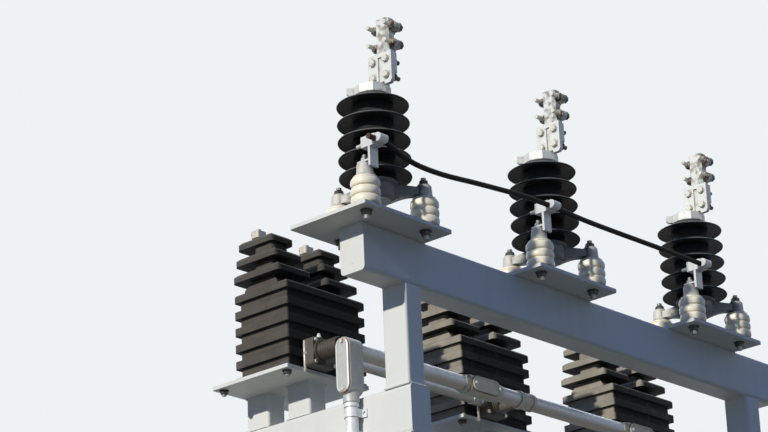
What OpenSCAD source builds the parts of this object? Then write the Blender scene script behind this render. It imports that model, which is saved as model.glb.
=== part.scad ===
// Outdoor three-phase equipment stand: three surge arresters on an upper rail and
// three cast-resin voltage transformers on a shelf behind and below it.
// X runs along the rail, Y runs back from the front legs, Z is up from the ground.

/* [Frame] */
// Height of the upper rail's top face above the ground
rail_top = 3930; // [3000:10:4300]
// Distance between neighbouring phases
phase_pitch = 680; // [620:5:820]
// Depth of the rail and cross arms, measured upright
tube_depth = 127; // [105:1:155]
// Width of the upper rail
rail_width = 80; // [66:1:96]
// Width of the cross arms
arm_width = 72; // [70:1:88]
// Outside corner radius of the square tubes
tube_corner = 11; // [5:1:13]
// Width of the posts and legs along the rail
post_x = 64; // [54:1:70]
// Width of the posts and legs across the rail
post_y = 80; // [66:1:84]
// Length of rail beyond the first plate's centre
rail_left = 75; // [50:1:150]
// Length of rail beyond the third plate's centre
rail_right = 330; // [300:5:420]
// Left post's near face beyond the first plate's centre
post_left = 72; // [60:1:90]
// Right post's near face beyond the third plate's centre
post_right = 193; // [170:1:215]
// Drop from the rail's top face to the arms' top face
arm_drop = 390; // [370:1:450]
// Reach of the arms forward of the rail's centre line
arm_front = 45; // [43:1:60]
// Reach of the arms behind the rail's centre line
arm_back = 650; // [630:5:760]
// Distance from the arms' back end to the rear legs' centre
rear_leg_inset = 52; // [44:1:70]

/* [Base plates] */
// Side of each square base plate
base_side = 240; // [210:5:300]
// Thickness of each base plate
base_t = 16; // [10:1:25]
// Distance between anchor holes along each side
anchor_pitch = 180; // [160:5:190]
// Diameter of the anchor holes
anchor_d = 22; // [14:1:30]
// Height of the stiffeners on each base plate
stiffener_h = 90; // [60:5:120]
// Thickness of the stiffeners
stiffener_t = 8; // [5:1:12]

/* [Arrester plates] */
// Length of each arrester plate along the rail
plate_x = 326; // [300:1:380]
// Width of each arrester plate across the rail
plate_y = 256; // [250:1:300]
// Thickness of the arrester and transformer plates
plate_t = 10; // [6:1:16]
// Arrester axis from the plate's centre, along the rail
arrester_dx = -13; // [-20:1:20]
// Arrester axis from the plate's centre, across the rail
arrester_dy = -33; // [-36:1:0]

/* [Arresters] */
// Diameter of the circle through the three feet
foot_circle = 254; // [240:1:262]
// Largest diameter of the foot insulators
insulator_d = 75; // [60:1:80]
// Height of the foot insulators
insulator_h = 74; // [60:1:90]
// Number of sheds on each foot insulator
insulator_sheds = 3; // [2:1:4]
// Diameter of the casting's bosses on the insulators
boss_d = 46; // [34:1:50]
// Height of those bosses
boss_h = 38; // [30:1:46]
// Width of the three arms of the casting
tripod_arm_w = 30; // [22:1:36]
// Diameter of the casting's seat under the housing
seat_d = 112; // [104:1:124]
// Diameter over the sheds
shed_d = 186; // [160:1:196]
// Diameter of the housing between sheds
core_d = 100; // [84:1:110]
// Number of sheds
shed_count = 5; // [3:1:7]
// Distance from one shed to the next
shed_pitch = 49; // [42:0.5:60]
// Thickness of a shed's rim
shed_rim = 6; // [4:0.5:10]
// Diameter over the corners of the eight-sided cap
cap_d = 97; // [92:1:112]
// Height of the cap
cap_h = 25; // [20:1:40]

/* [Line terminals] */
// Side of the square terminal pad
pad_side = 78; // [74:1:90]
// Thickness of the terminal pad
pad_t = 10; // [8:1:14]
// Distance between the pad's bolts
pad_pitch = 44.45; // [40:0.05:50]
// Sideways distance from the arrester's axis to the pad's centre
pad_shift = 38; // [34:1:44]
// Diameter of the cable that the clamp holds
cable_d = 20; // [12:1:26]
// Height of the clamp's jaw above its pad
jaw_h = 104.5; // [80:0.5:120]

/* [Voltage transformers] */
// Length of each transformer plate along the rail
vt_plate_x = 306; // [300:1:360]
// Width of each transformer plate across the rail
vt_plate_y = 272; // [266:1:300]
// Distance from the rail's centre line to the middle of those plates
vt_back = 399; // [395:1:430]
// Distance between the two stubs under each plate
stub_pitch = 148; // [130:1:170]
// Width of the stubs across the rail
stub_y = 80; // [60:1:84]
// Height of the stubs
stub_h = 90; // [60:1:110]
// Length of the resin body along the rail
body_x = 294; // [270:1:300]
// Width of the resin body across the rail
body_y = 192; // [176:1:204]
// Height of the resin body
body_h = 230; // [190:1:270]
// Number of grooves round the body
body_grooves = 5; // [3:1:5]
// Height of the grooves
groove_h = 24; // [10:1:28]
// Depth of the grooves
groove_depth = 11; // [6:1:16]
// Length of each bushing's lowest shed along the rail
bushing_x = 122; // [104:1:130]
// Width of each bushing's lowest shed across the rail
bushing_y = 170; // [150:1:176]
// Distance between the two bushings
bushing_span = 180; // [150:1:182]
// Number of sheds on each bushing
bushing_sheds = 3; // [2:1:4]
// Distance from one bushing shed to the next
bushing_pitch = 48; // [40:1:56]
// Height of each bushing shed
bushing_rim = 23; // [16:1:28]
// Height from the body to the lowest shed
bushing_foot = 31; // [24:1:40]

/* [Wiring] */
// Outside diameter of the long conduit
conduit_d = 42.2; // [33.4:0.1:48.3]
// Outside diameter of the drop conduit
drop_d = 33.4; // [26.7:0.1:42.2]
// Bore of the drop conduit
drop_bore = 26.6; // [20:0.1:35]
// Distance from the rail's centre line to the conduits
conduit_back = 135; // [110:1:160]
// Drop from the rail's top face to the long conduit's centre
conduit_drop = 266; // [240:1:290]
// Length of the conduit bodies
fitting_l = 150; // [120:1:170]
// Width of the conduit bodies
fitting_w = 48; // [46:1:58]
// Diameter of the earth lead
lead_d = 14; // [8:1:18]
// How far the lead's first span hangs down
lead_sag = 30; // [10:1:60]

/* [Hidden] */

$fn = 48;
// Overlap that joins two shapes of one piece, and the gap between bolted pieces
bite = 0.2;
seat_gap = 0.3;

paint = "#dfe2dd";
galvanised = "#a9afb2";
resin = "#4b4a48";
black_rubber = "#25272a";
porcelain = "#e6dfc9";
cast_alloy = "#d3d2ca";
lead_brown = "#54423a";

// Centre of each phase along the rail
phases = [-phase_pitch, 0, phase_pitch];
rail_x0 = phases[0] - rail_left;
rail_x1 = phases[2] + rail_right;
post_x0 = phases[0] + post_left;
post_x1 = phases[2] + post_right;
left_axis = post_x0 + post_x / 2;
right_axis = post_x1 + post_x / 2;
rear_leg_y = arm_back - rear_leg_inset;
rail_bottom = rail_top - tube_depth;
arm_top = rail_top - arm_drop;
arm_bottom = arm_top - tube_depth;
arm_left_axis = post_x0 + arm_width / 2;
arm_right_axis = post_x1 + arm_width / 2;

// Heights in an arrester, above the rail's top face
foot_z = plate_t;
boss_z = foot_z + insulator_h;
seat_rise = boss_h - 6;
seat_z = boss_z + seat_rise;
shed_first = 19;
housing_h = shed_first + (shed_count - 1) * shed_pitch + 23.5;
cap_z = seat_z + housing_h;
pad_z = cap_z + cap_h;
foot_r = foot_circle / 2;
foot_angles = [210, 330, 90];
bracket_x = foot_r * cos(foot_angles[0]) + arrester_dx;
bracket_y = foot_r * sin(foot_angles[0]) + arrester_dy;

// The clamp's tongue and the cap's pad meet at pad_x. The jaw runs back from its front face
// to jaw_x, where the keepers split it
pad_x = 3;
tongue_t = 12;
tongue_hang = 7;
tongue_slot = 12;
tongue_slot_depth = 4;
jaw_front = -4;
jaw_x = 23;
jaw_w = 44;
jaw_foot = 4;
keeper_w = 76;
keeper_h = 26;
keeper_t = 9;
keeper_pitch = 50;
keeper_bolts = 57;
keeper_hole_d = 13;
pad_hole_d = 14;
keeper_z = [for (s = [-1, 1]) pad_side + (jaw_h + 10 + s * keeper_pitch) / 2];

// Transformers sit past each phase centre, over the left arm
vt_dx = arm_left_axis - phases[0];
stub_z = arm_top;
vt_plate_z = stub_z + stub_h;
body_z = vt_plate_z + plate_t;
body_front = vt_back - vt_plate_y / 2;
body_mid_y = body_front + body_y / 2;
// The stubs and shelf rails stand this far behind the plates' middle
stub_shift = 19;
stub_mid_y = vt_back + stub_shift;
shelf_x0 = post_x0 + arm_width;
shelf_x1 = post_x1;
shelf_w = stub_y;

// Plain bands under and over the body's grooves
foot_band = 3.5;
crown_band = 22.5;
groove_pitch = (body_h - foot_band - crown_band - groove_h) / (body_grooves - 1);

// Each bushing shed is this much shorter both ways than the one below, flush at the back
shed_step = 20;
bushing_back = 12;
terminal_back = 44;
bushing_stem = [60, 72];
bushing_h = bushing_foot + (bushing_sheds - 1) * bushing_pitch + bushing_rim;

// Terminal boxes on the transformers' front faces, with a ribbed hub and a nipple
box_w = 84;
box_h = 74;
box_d = 34;
box_x = -50;
box_z = body_z + 3;
box_y = body_front - box_d / 2 - seat_gap;
hub_d = 56;
hub_l = 20;
hub_ribs = 3;
nipple_d = 26.7;
gland_d = 38;
gland_l = 12;
gland_nut = 34;
gland_y = box_y - (gland_d - box_d) / 2 - 1;

conduit_z = rail_top - conduit_drop;
nipple_l = body_front - box_d + bite - seat_gap - conduit_back - fitting_w / 2;
hub_wall = 4.5;
arm_gap = drop_d / 2 + hub_wall + 1;
drop_x = post_x0 - arm_gap;
fitting_r = fitting_w / 2;
hub_drop = 20;
strap_w = 22;
strap_drop = 46;
hub_end = 18;
// Tees where the boxes' nipples meet the conduit, with a covered body before each
tee_x = [for (i = [1, 2]) phases[i] + vt_dx + box_x];
tee_l = 62;
fitting_x = [for (x = tee_x) x - 184];

// Lead brackets: a foot on the casting's front boss, an upright strap and a clamp on the lead
bracket_side = 30;
bracket_dx = 3;
bracket_t = 5;
bracket_h = 52;
strap_t = 7;
strap_back = 23;
strap_hang = 14;
grip_l = 45;
grip_h = 29;
nose_l = 22;
nose_h = 23;
shed_clear = 3;

// The lead passes in front of the sheds. Its spans hang by the sags, with the shape in
// lead_hang as [share of the span, share of the sag]
lead_clear = 9;
lead_tail = 34;
lead_z = boss_z + boss_h + bracket_h;
lead_y = arrester_dy - shed_d / 2 - lead_d / 2 - lead_clear;
lead_straight = [-20, 0, 20];
lead_sags = [lead_sag, 4];
lead_hang = [
    [0.05, 0], [0.1, 0.4], [0.16, 0.77], [0.22, 0.97], [0.31, 1], [0.41, 0.87],
    [0.53, 0.6], [0.7, 0.27], [0.82, 0.07], [0.95, 0]
];

// Overall extents on the ground plan, used to centre the model
x_min = min(phases[0] - plate_x / 2, left_axis - base_side / 2);
x_max = max(rail_x1, right_axis + base_side / 2);
y_min = lead_y - nose_l;
y_max = max(arm_back, rear_leg_y + base_side / 2);

// Outline helpers
module rounded_rect(w, d, r) {
    square([w - 2 * r, d], center = true);
    square([w, d - 2 * r], center = true);
    for (sx = [-1, 1], sy = [-1, 1])
        translate([sx * (w / 2 - r), sy * (d / 2 - r)]) circle(r);
}

module bar_x(x0, x1, w, d, r) {
    translate([x0, 0, 0]) rotate([90, 0, 90]) linear_extrude(x1 - x0) rounded_rect(w, d, r);
}

module bar_y(y0, y1, w, d, r) {
    translate([0, y1, 0]) rotate([90, 0, 0]) linear_extrude(y1 - y0) rounded_rect(w, d, r);
}

module bar_z(z0, z1, w, d, r) {
    translate([0, 0, z0]) linear_extrude(z1 - z0) rounded_rect(w, d, r);
}

module block(x, y, z0, z1, r) {
    translate([0, 0, z0]) linear_extrude(z1 - z0) rounded_rect(x, y, r);
}

module obround(l, r) {
    square([l - 2 * r, 2 * r], center = true);
    for (s = [-1, 1]) translate([s * (l / 2 - r), 0]) circle(r);
}

// Upright section of a block whose sides lean in above a height
module crown_section(half, z0, z_lean, z1, lean) {
    polygon([
        [-half, z0], [half, z0], [half, z_lean], [half - lean, z1], [-half + lean, z1], [-half, z_lean]
    ]);
}

// A rounded block that leans in by [x, y] on each side between z_lean and z1
module crowned(x, y, z0, z_lean, z1, lean, r) {
    intersection() {
        block(x, y, z0, z1, r);
        rotate([90, 0, 0]) linear_extrude(y + 2, center = true)
            crown_section(x / 2, z0, z_lean, z1, lean[0]);
        rotate([90, 0, 90]) linear_extrude(x + 2, center = true)
            crown_section(y / 2, z0, z_lean, z1, lean[1]);
    }
}

module placed() {
    translate([-(x_min + x_max) / 2, -(y_min + y_max) / 2, 0]) children();
}

module at_phase(i) {
    translate([phases[i], 0, rail_top]) children();
}

module at_arrester(i) {
    at_phase(i) translate([arrester_dx, arrester_dy, 0]) children();
}

module at_feet() {
    for (a = foot_angles) rotate(a) translate([foot_r, 0, 0]) children();
}

// Frame
module upper_rail() {
    color(paint) placed() translate([0, 0, rail_top - tube_depth / 2])
        bar_x(rail_x0, rail_x1, rail_width, tube_depth, tube_corner);
}

module post(axis) {
    color(paint) placed() translate([axis, 0, 0])
        bar_z(arm_top, rail_bottom, post_x, post_y, tube_corner * 0.7);
}

module arm(axis) {
    color(paint) placed() translate([axis, 0, arm_top - tube_depth / 2])
        bar_y(-arm_front, arm_back, arm_width, tube_depth, tube_corner);
}

module stiffeners() {
    for (s = [-1, 1]) {
        translate([s * post_x / 2, 0, base_t]) rotate([90, 0, 0])
            linear_extrude(stiffener_t, center = true)
                polygon([[-s, 0], [s * 70, 0], [s * 70, 12], [s * 12, stiffener_h], [-s, stiffener_h]]);
        translate([0, s * post_y / 2, base_t]) rotate([90, 0, 90])
            linear_extrude(stiffener_t, center = true)
                polygon([[-s, 0], [s * 64, 0], [s * 64, 12], [s * 12, stiffener_h], [-s, stiffener_h]]);
    }
}

module leg(axis, y) {
    color(paint) placed() translate([axis, y, 0]) {
        difference() {
            union() {
                bar_z(0, base_t, base_side, base_side, 12);
                bar_z(base_t - bite, arm_bottom, post_x, post_y, tube_corner * 0.7);
                stiffeners();
            }
            for (sx = [-1, 1], sy = [-1, 1])
                translate([sx * anchor_pitch / 2, sy * anchor_pitch / 2, -1])
                    cylinder(d = anchor_d, h = base_t + 2);
        }
    }
}

module shelf_rail(side) {
    color(paint) placed() translate([0, stub_mid_y + side * stub_pitch / 2, arm_top - shelf_w / 2])
        bar_x(shelf_x0, shelf_x1, shelf_w, shelf_w, tube_corner * 0.7);
}

// Arresters
module arrester_plate(i) {
    color(paint) placed() at_phase(i) bar_z(0, plate_t, plate_x, plate_y, 4);
}

// Half outline of a foot insulator's shed
function shed_arc(r_in, r_out, z0, h, n) = [
    for (k = [0 : n]) let (a = -90 + 180 * k / n)
        [r_in + (r_out - r_in) * cos(a), z0 + h / 2 + h / 2 * sin(a)]
];

module foot_insulators(i) {
    neck_r = insulator_d / 2 - 9;
    step = insulator_h / (insulator_sheds + 0.5);
    color(porcelain) placed() at_arrester(i) at_feet() translate([0, 0, foot_z])
        rotate_extrude() polygon(concat(
            [[0, 0], [neck_r, 0]],
            [for (s = [0 : insulator_sheds - 1])
                for (p = shed_arc(neck_r, insulator_d / 2, step * (0.35 + s), step * 0.72, 8)) p],
            [[neck_r, insulator_h - 5], [neck_r + 3, insulator_h - 4]],
            [[neck_r + 3, insulator_h], [0, insulator_h]]
        ));
}

// Side outline of one casting arm, deep at the hub and shallow at the boss
module tripod_arm() {
    inner = seat_d / 2 - 16;
    outer = foot_r - boss_d / 2 + 5;
    top = seat_rise - 1;
    rotate([90, 0, 0]) linear_extrude(tripod_arm_w, center = true) polygon(concat(
        [[inner, top]],
        [for (k = [0 : 6]) let (t = k / 6) [inner + (outer - inner) * t, 22 * sin(90 * t) - 14]],
        [[outer, top - 3]]
    ));
}

module tripod_base(i) {
    color(cast_alloy) placed() at_arrester(i) translate([0, 0, boss_z]) {
        for (a = foot_angles) rotate(a) {
            tripod_arm();
            translate([foot_r, 0, 0]) rotate_extrude() polygon([
                [0, 0], [boss_d / 2 + 2, 0], [boss_d / 2 + 2, 5], [boss_d / 2 - 1, 9],
                [boss_d / 2 - 3, boss_h - 4], [boss_d / 2 - 7, boss_h], [0, boss_h]
            ]);
        }
        rotate_extrude() polygon([
            [0, -16], [seat_d / 2 - 18, -16], [seat_d / 2 - 10, -8], [seat_d / 2 - 8, boss_h - 16],
            [seat_d / 2, boss_h - 12], [seat_d / 2, seat_rise], [0, seat_rise]
        ]);
    }
}

// Half outline of the housing: umbrella sheds with a drip edge
module arrester_housing(i) {
    color(black_rubber) placed() at_arrester(i) translate([0, 0, seat_z])
        rotate_extrude($fn = 72) polygon(concat(
            [[0, 0], [core_d / 2 + 2, 0], [core_d / 2 + 2, 5]],
            [for (s = [0 : shed_count - 1]) let (z = shed_first + s * shed_pitch) each [
                [core_d / 2, z + 2],
                [core_d / 2 + 6, z - 2],
                [shed_d / 2 - 12, z - 4],
                [shed_d / 2 - 2, z - 5],
                [shed_d / 2, z - 3],
                [shed_d / 2, z + shed_rim - 4],
                [shed_d / 2 - 3, z + shed_rim - 1],
                [core_d / 2 + 10, z + 15],
                [core_d / 2 + 3, z + 19],
                [core_d / 2, min(z + 25, housing_h - 4)]
            ]],
            [[cap_d / 2 * cos(22.5) - 1, housing_h], [0, housing_h]]
        ));
}

// Bolt holes of the pad and of the tongue on it, seen from the front
module pad_holes() {
    for (sy = [-1, 1], sz = [-1, 1])
        translate([sy * pad_pitch / 2, pad_side / 2 + sz * pad_pitch / 2]) circle(d = pad_hole_d);
}

// Eight-sided cap with an upright pad, which overhangs it on one side
module arrester_cap(i) {
    cap_r = cap_d / 2;
    half = pad_side / 2;
    color(cast_alloy) placed() at_arrester(i) translate([0, 0, cap_z]) {
        cylinder(d = cap_d, h = cap_h, $fn = 8);
        translate([pad_x, -pad_shift, cap_h]) rotate([90, 0, 90]) linear_extrude(pad_t)
            difference() {
                polygon([
                    [-half, pad_side], [half, pad_side], [half, -bite],
                    [pad_shift - cap_r + 8, -bite], [-half, pad_side * 0.3]
                ]);
                pad_holes();
            }
        for (y = [-8, 8 - cap_r * 0.8]) translate([pad_x + pad_t - bite, y, cap_h - bite])
            rotate([90, 0, 0]) linear_extrude(8, center = true)
                polygon([[0, 0], [18, 0], [18, 4], [4, pad_side * 0.4], [0, pad_side * 0.4]]);
        rotate([90, 0, 135]) linear_extrude(10, center = true) polygon([
            [cap_r - 8, 3], [cap_r + 11, 3], [cap_r + 17, 9],
            [cap_r + 17, cap_h - 1], [cap_r - 8, cap_h - 1]
        ]);
    }
}

// Clamp: a tongue bolted to the cap's pad, a jaw with a cable groove and two keepers
module clamp_tongue() {
    half = pad_side / 2;
    hang_y = cap_d / 2 - pad_shift + 2;
    difference() {
        rotate([90, 0, 90]) translate([0, 0, -tongue_t]) linear_extrude(tongue_t) difference() {
            polygon([
                [-half, pad_side + jaw_foot], [half, pad_side + jaw_foot], [half, 9], [half - 8, 1],
                [-hang_y, 1], [-hang_y - 3, -tongue_hang], [6 - half, -tongue_hang], [-half, 1]
            ]);
            pad_holes();
        }
        translate([-tongue_t - 1, -tongue_slot / 2, -1])
            cube([tongue_slot_depth + 1, tongue_slot, pad_side - 6]);
    }
}

module keeper_outline() {
    difference() {
        rounded_rect(keeper_w, keeper_h, 10);
        for (s = [-1, 1]) translate([s * keeper_bolts / 2, 0]) circle(d = keeper_hole_d);
    }
}

module clamp_jaw() {
    half = jaw_w / 2;
    translate([0, 0, pad_side + jaw_foot - bite]) linear_extrude(jaw_h - jaw_foot + bite) polygon([
        [jaw_front, 8 - half], [jaw_front, half - 8], [jaw_front + 8, half],
        [jaw_x, half], [jaw_x, -half], [jaw_front + 8, -half]
    ]);
    rotate([90, 0, 0]) linear_extrude(jaw_w - 16, center = true) polygon([
        [-tongue_t, pad_side], [-1, pad_side], [-1, pad_side + 14], [jaw_front, pad_side + 14]
    ]);
    for (z = keeper_z) translate([jaw_x - tongue_t, 0, z]) rotate([90, 0, 90])
        linear_extrude(tongue_t) keeper_outline();
}

module keeper() {
    wide = cable_d / 2 + 10;
    difference() {
        union() {
            translate([seat_gap, 0, 0]) rotate([90, 0, 90]) linear_extrude(keeper_t) keeper_outline();
            linear_extrude(keeper_h, center = true) polygon([
                [seat_gap, -wide], [seat_gap, wide], [keeper_t, wide],
                [keeper_t + 7, wide - 9], [keeper_t + 7, 9 - wide], [keeper_t, -wide]
            ]);
        }
        cylinder(d = cable_d, h = keeper_h + 2, center = true);
    }
}

module line_clamp(i) {
    color(cast_alloy) placed() at_arrester(i) translate([pad_x - seat_gap, -pad_shift, pad_z]) {
        difference() {
            union() {
                clamp_tongue();
                clamp_jaw();
            }
            translate([jaw_x, 0, pad_side - 1]) cylinder(d = cable_d, h = jaw_h + 3);
        }
        for (z = keeper_z) translate([jaw_x, 0, z]) keeper();
    }
}

// Transformers
module transformer_stand(i) {
    color(paint) placed() translate([phases[i] + vt_dx, vt_back, 0]) {
        bar_z(vt_plate_z, vt_plate_z + plate_t, vt_plate_x, vt_plate_y, 4);
        for (s = [-1, 1]) translate([0, stub_shift + s * stub_pitch / 2, 0])
            bar_z(stub_z, vt_plate_z + bite, post_x, stub_y, tube_corner * 0.7);
    }
}

// Heights at which the body's bands start and end, above the body's foot
function band_foot(k) = k == 0 ? 0 : foot_band + (k - 1) * groove_pitch + groove_h;
function band_top(k) = foot_band + k * groove_pitch;

module transformer_body() {
    block(body_x - 2 * groove_depth, body_y - 2 * groove_depth, 0, body_h - 1, 6);
    for (k = [0 : body_grooves - 1])
        block(body_x, body_y, band_foot(k), band_top(k), 6);
    crowned(body_x, body_y, band_foot(body_grooves), body_h - 6, body_h, [6, 6], 6);
}

// A rectangular stem on a flared foot, with sheds that shrink towards the top
module transformer_bushing() {
    foot = bushing_stem + [28, 56];
    block(bushing_stem[0], bushing_stem[1], -bite, bushing_h - 2, 14);
    crowned(foot[0], foot[1], -bite, 4, bushing_foot + 1, [12, 24], 14);
    for (k = [0 : bushing_sheds - 1])
        translate([0, k * shed_step / 2, bushing_foot + k * bushing_pitch])
            crowned(bushing_x - k * shed_step, bushing_y - k * shed_step,
                0, bushing_rim * 0.6, bushing_rim, [9, 12], 12);
}

module transformer(i) {
    color(resin) placed() translate([phases[i] + vt_dx, body_mid_y, body_z]) {
        transformer_body();
        for (s = [-1, 1]) translate([s * bushing_span / 2, bushing_back, body_h]) transformer_bushing();
    }
}

// Round flange, stud and cable clamp
module terminal_stud() {
    cylinder(d = 38, h = 5);
    translate([0, 0, 4]) cylinder(d = 14, h = 34);
    difference() {
        translate([0, 0, 11]) linear_extrude(20) rounded_rect(34, 28, 6);
        translate([0, 10, 21]) rotate([0, 90, 0]) cylinder(d = 5, h = 40, center = true);
    }
}

module transformer_terminals() {
    color(cast_alloy) placed() for (i = [0 : 2], s = [-1, 1])
        translate([phases[i] + vt_dx + s * bushing_span / 2, body_mid_y + bushing_back + terminal_back, 0])
            translate([0, 0, body_z + body_h + bushing_h]) terminal_stud();
}

// Half outline of a round hub with ribs of equal width and spacing
function hub_outline(d, l, ribs) = let (w = l / (2 * ribs)) concat(
    [[0, 0]],
    [for (k = [0 : ribs - 1]) each [
        [d / 2, 2 * k * w], [d / 2, (2 * k + 1) * w],
        [d / 2 - 3, (2 * k + 1) * w], [d / 2 - 3, (2 * k + 2) * w]
    ]],
    [[0, l]]
);

module terminal_box(i) {
    color(cast_alloy) placed() translate([phases[i] + vt_dx + box_x, box_y, box_z + box_h / 2]) {
        rotate([90, 0, 0]) linear_extrude(box_d, center = true) rounded_rect(box_w, box_h, 8);
        translate([0, bite - box_d / 2, 0]) rotate([90, 0, 0])
            rotate_extrude() polygon(hub_outline(hub_d, hub_l, hub_ribs));
        translate([0, bite - box_d / 2, conduit_z - box_z - box_h / 2]) rotate([90, 0, 0])
            cylinder(d = nipple_d, h = nipple_l);
        for (s = i == 0 ? [1] : [-1, 1]) translate([s * (box_w / 2 - bite), gland_y - box_y, 0])
            rotate([0, s * 90, 0]) {
                cylinder(d = gland_nut, h = 5);
                translate([0, 0, 4]) cylinder(d1 = gland_d, d2 = gland_d - 8, h = gland_l - 4);
            }
    }
}

// Wiring
module long_conduit() {
    starts = [
        drop_x + fitting_r, fitting_x[0] + fitting_l / 2,
        tee_x[0] + tee_l / 2, fitting_x[1] + fitting_l / 2
    ];
    ends = [
        fitting_x[0] - fitting_l / 2, tee_x[0] - tee_l / 2,
        fitting_x[1] - fitting_l / 2, tee_x[1] - tee_l / 2
    ];
    low_x = phases[0] + vt_dx + box_x + box_w / 2 + gland_l;
    low_l = phase_pitch - box_w - 2 * gland_l;
    color(galvanised) placed() {
        for (k = [0 : 3]) translate([starts[k], conduit_back, conduit_z])
            rotate([0, 90, 0]) cylinder(d = conduit_d, h = ends[k] - starts[k]);
        translate([low_x, gland_y, box_z + box_h / 2]) rotate([0, 90, 0]) {
            cylinder(d = nipple_d, h = low_l);
            for (z = [0, low_l - 8]) translate([0, 0, z]) cylinder(d = gland_nut, h = 8, $fn = 6);
            for (z = [12, low_l - 38]) translate([0, 0, z]) cylinder(d = gland_nut - 2, h = 26);
        }
    }
}

// Conduit body with a long cover, hubs at its ends or foot and a rounded back
module cover_plate(l, r) {
    linear_extrude(3) obround(l, r);
    translate([0, 0, 2.8]) linear_extrude(2) obround(l - 8, r - 4);
}

module corner_fitting() {
    color(cast_alloy) placed()
        translate([drop_x, conduit_back, conduit_z + fitting_r - fitting_l / 2 + 4]) {
            rotate([0, 90, 0]) linear_extrude(fitting_w, center = true) obround(fitting_l, fitting_r);
            translate([bite - fitting_w / 2, 0, 0]) rotate([0, -90, 0])
                cover_plate(fitting_l - 6, fitting_r - 3);
            translate([0, 0, -fitting_l / 2 - hub_drop])
                cylinder(d = drop_d + 2 * hub_wall, h = hub_drop + 8);
        }
}

// A band round the conduit, with two ears that lie on the arm's side
module conduit_strap() {
    ear = 34;
    difference() {
        linear_extrude(strap_w, center = true) difference() {
            union() {
                circle(d = drop_d + 6);
                translate([0, -drop_d / 2 - 3]) square([arm_gap - 2, drop_d + 6]);
                translate([arm_gap - 4, -ear]) square([4, 2 * ear]);
            }
            circle(d = drop_d - 1);
        }
        for (s = [-1, 1]) translate([0, s * (ear - 8), 0]) rotate([0, 90, 0]) cylinder(d = 9, h = 40);
    }
}

module drop_conduit() {
    z1 = conduit_z + fitting_r + 4 - fitting_l - hub_drop;
    z0 = arm_bottom - 110;
    color(galvanised) placed() translate([drop_x, conduit_back, 0]) {
        difference() {
            union() {
                translate([0, 0, z0]) cylinder(d = drop_d, h = z1 - z0);
                translate([0, 0, z0]) cylinder(d = drop_d + 10, h = 40);
                translate([0, 0, z1 - 12]) cylinder(d = drop_d + 6, h = 8);
                translate([0, 0, z1 - 8]) cylinder(d = drop_d + 3, h = 8);
            }
            translate([0, 0, z0 - 1]) cylinder(d = drop_bore, h = z1 - z0 - 20);
        }
        for (z = [arm_top - strap_drop, arm_bottom + 22]) translate([0, 0, z]) conduit_strap();
    }
}

module line_fittings() {
    body_l = fitting_l - 2 * hub_end;
    color(cast_alloy) placed() translate([0, conduit_back, conduit_z]) {
        for (x = fitting_x) translate([x, 0, 0]) {
            rotate([0, 90, 0]) linear_extrude(body_l, center = true)
                rounded_rect(fitting_w, fitting_w, 14);
            rotate([0, 90, 0]) cylinder(d = conduit_d + 5, h = fitting_l, center = true);
            translate([0, bite - fitting_w / 2, 0]) rotate([90, 0, 0])
                cover_plate(body_l - 4, fitting_r - 4);
        }
        for (x = tee_x) translate([x, 0, 0]) {
            rotate([-90, 0, 0]) cylinder(d = nipple_d + 9, h = fitting_r);
            rotate([0, 90, 0]) {
                cylinder(d = conduit_d + 3, h = tee_l, center = true);
                for (s = [-1, 1]) translate([0, 0, s * (tee_l / 2 - 6)])
                    cylinder(d = conduit_d + 7, h = 12, center = true);
            }
        }
    }
}

// Earth lead, swept along a smooth curve through its route
lead_route = concat(
    [[phases[0] + bracket_x - lead_tail, lead_y, rail_top + lead_z]],
    [for (i = [0 : 2]) each concat(
        [for (x = lead_straight) [phases[i] + bracket_x + x, lead_y, rail_top + lead_z]],
        [for (p = i < 2 ? lead_hang : [])
            [phases[i] + bracket_x + p[0] * phase_pitch, lead_y,
                rail_top + lead_z - p[1] * lead_sags[i]]]
    )],
    [[phases[2] + bracket_x + lead_tail, lead_y, rail_top + lead_z]]
);
lead_steps = 2;
lead_sides = 10;

function curve_point(a, b, c, d, t) =
    0.5 * (2 * b + (c - a) * t + (2 * a - 5 * b + 4 * c - d) * t * t
        + (3 * b - 3 * c + d - a) * t * t * t);

function smooth(route, steps) = let (n = len(route)) concat(
    [for (k = [0 : n - 2]) for (s = [0 : steps - 1])
        curve_point(route[max(k - 1, 0)], route[k], route[k + 1], route[min(k + 2, n - 1)], s / steps)],
    [route[n - 1]]
);

module sweep(path, d, sides) {
    n = len(path);
    points = [for (k = [0 : n - 1])
        let (
            ahead = path[min(k + 1, n - 1)] - path[max(k - 1, 0)],
            dir = ahead / norm(ahead),
            side_raw = cross([0, 0, 1], dir),
            side = side_raw / norm(side_raw),
            up = cross(dir, side)
        )
        for (j = [0 : sides - 1])
            path[k] + d / 2 * (cos(360 * j / sides) * side + sin(360 * j / sides) * up)
    ];
    skin = [for (k = [0 : n - 2]) for (j = [0 : sides - 1])
        let (a = k * sides + j, b = k * sides + (j + 1) % sides)
        [a, a + sides, b + sides, b]
    ];
    ends = [
        [for (j = [0 : sides - 1]) j],
        [for (j = [0 : sides - 1]) n * sides - 1 - j]
    ];
    polyhedron(points, concat(skin, ends));
}

module earth_lead() {
    color(lead_brown) placed() sweep(smooth(lead_route, lead_steps), lead_d, lead_sides);
}

// Upright section of the clamp round the lead: a long grip behind it and a rounded nose
module lead_clamp_outline() {
    difference() {
        union() {
            translate([0, -grip_h / 2]) square([grip_l, grip_h]);
            translate([nose_h / 2 - nose_l, 1]) circle(d = nose_h);
            translate([nose_h / 2 - nose_l, 1 - nose_h / 2]) square([nose_l, nose_h]);
        }
        circle(d = lead_d + 2 * seat_gap);
    }
}

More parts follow.
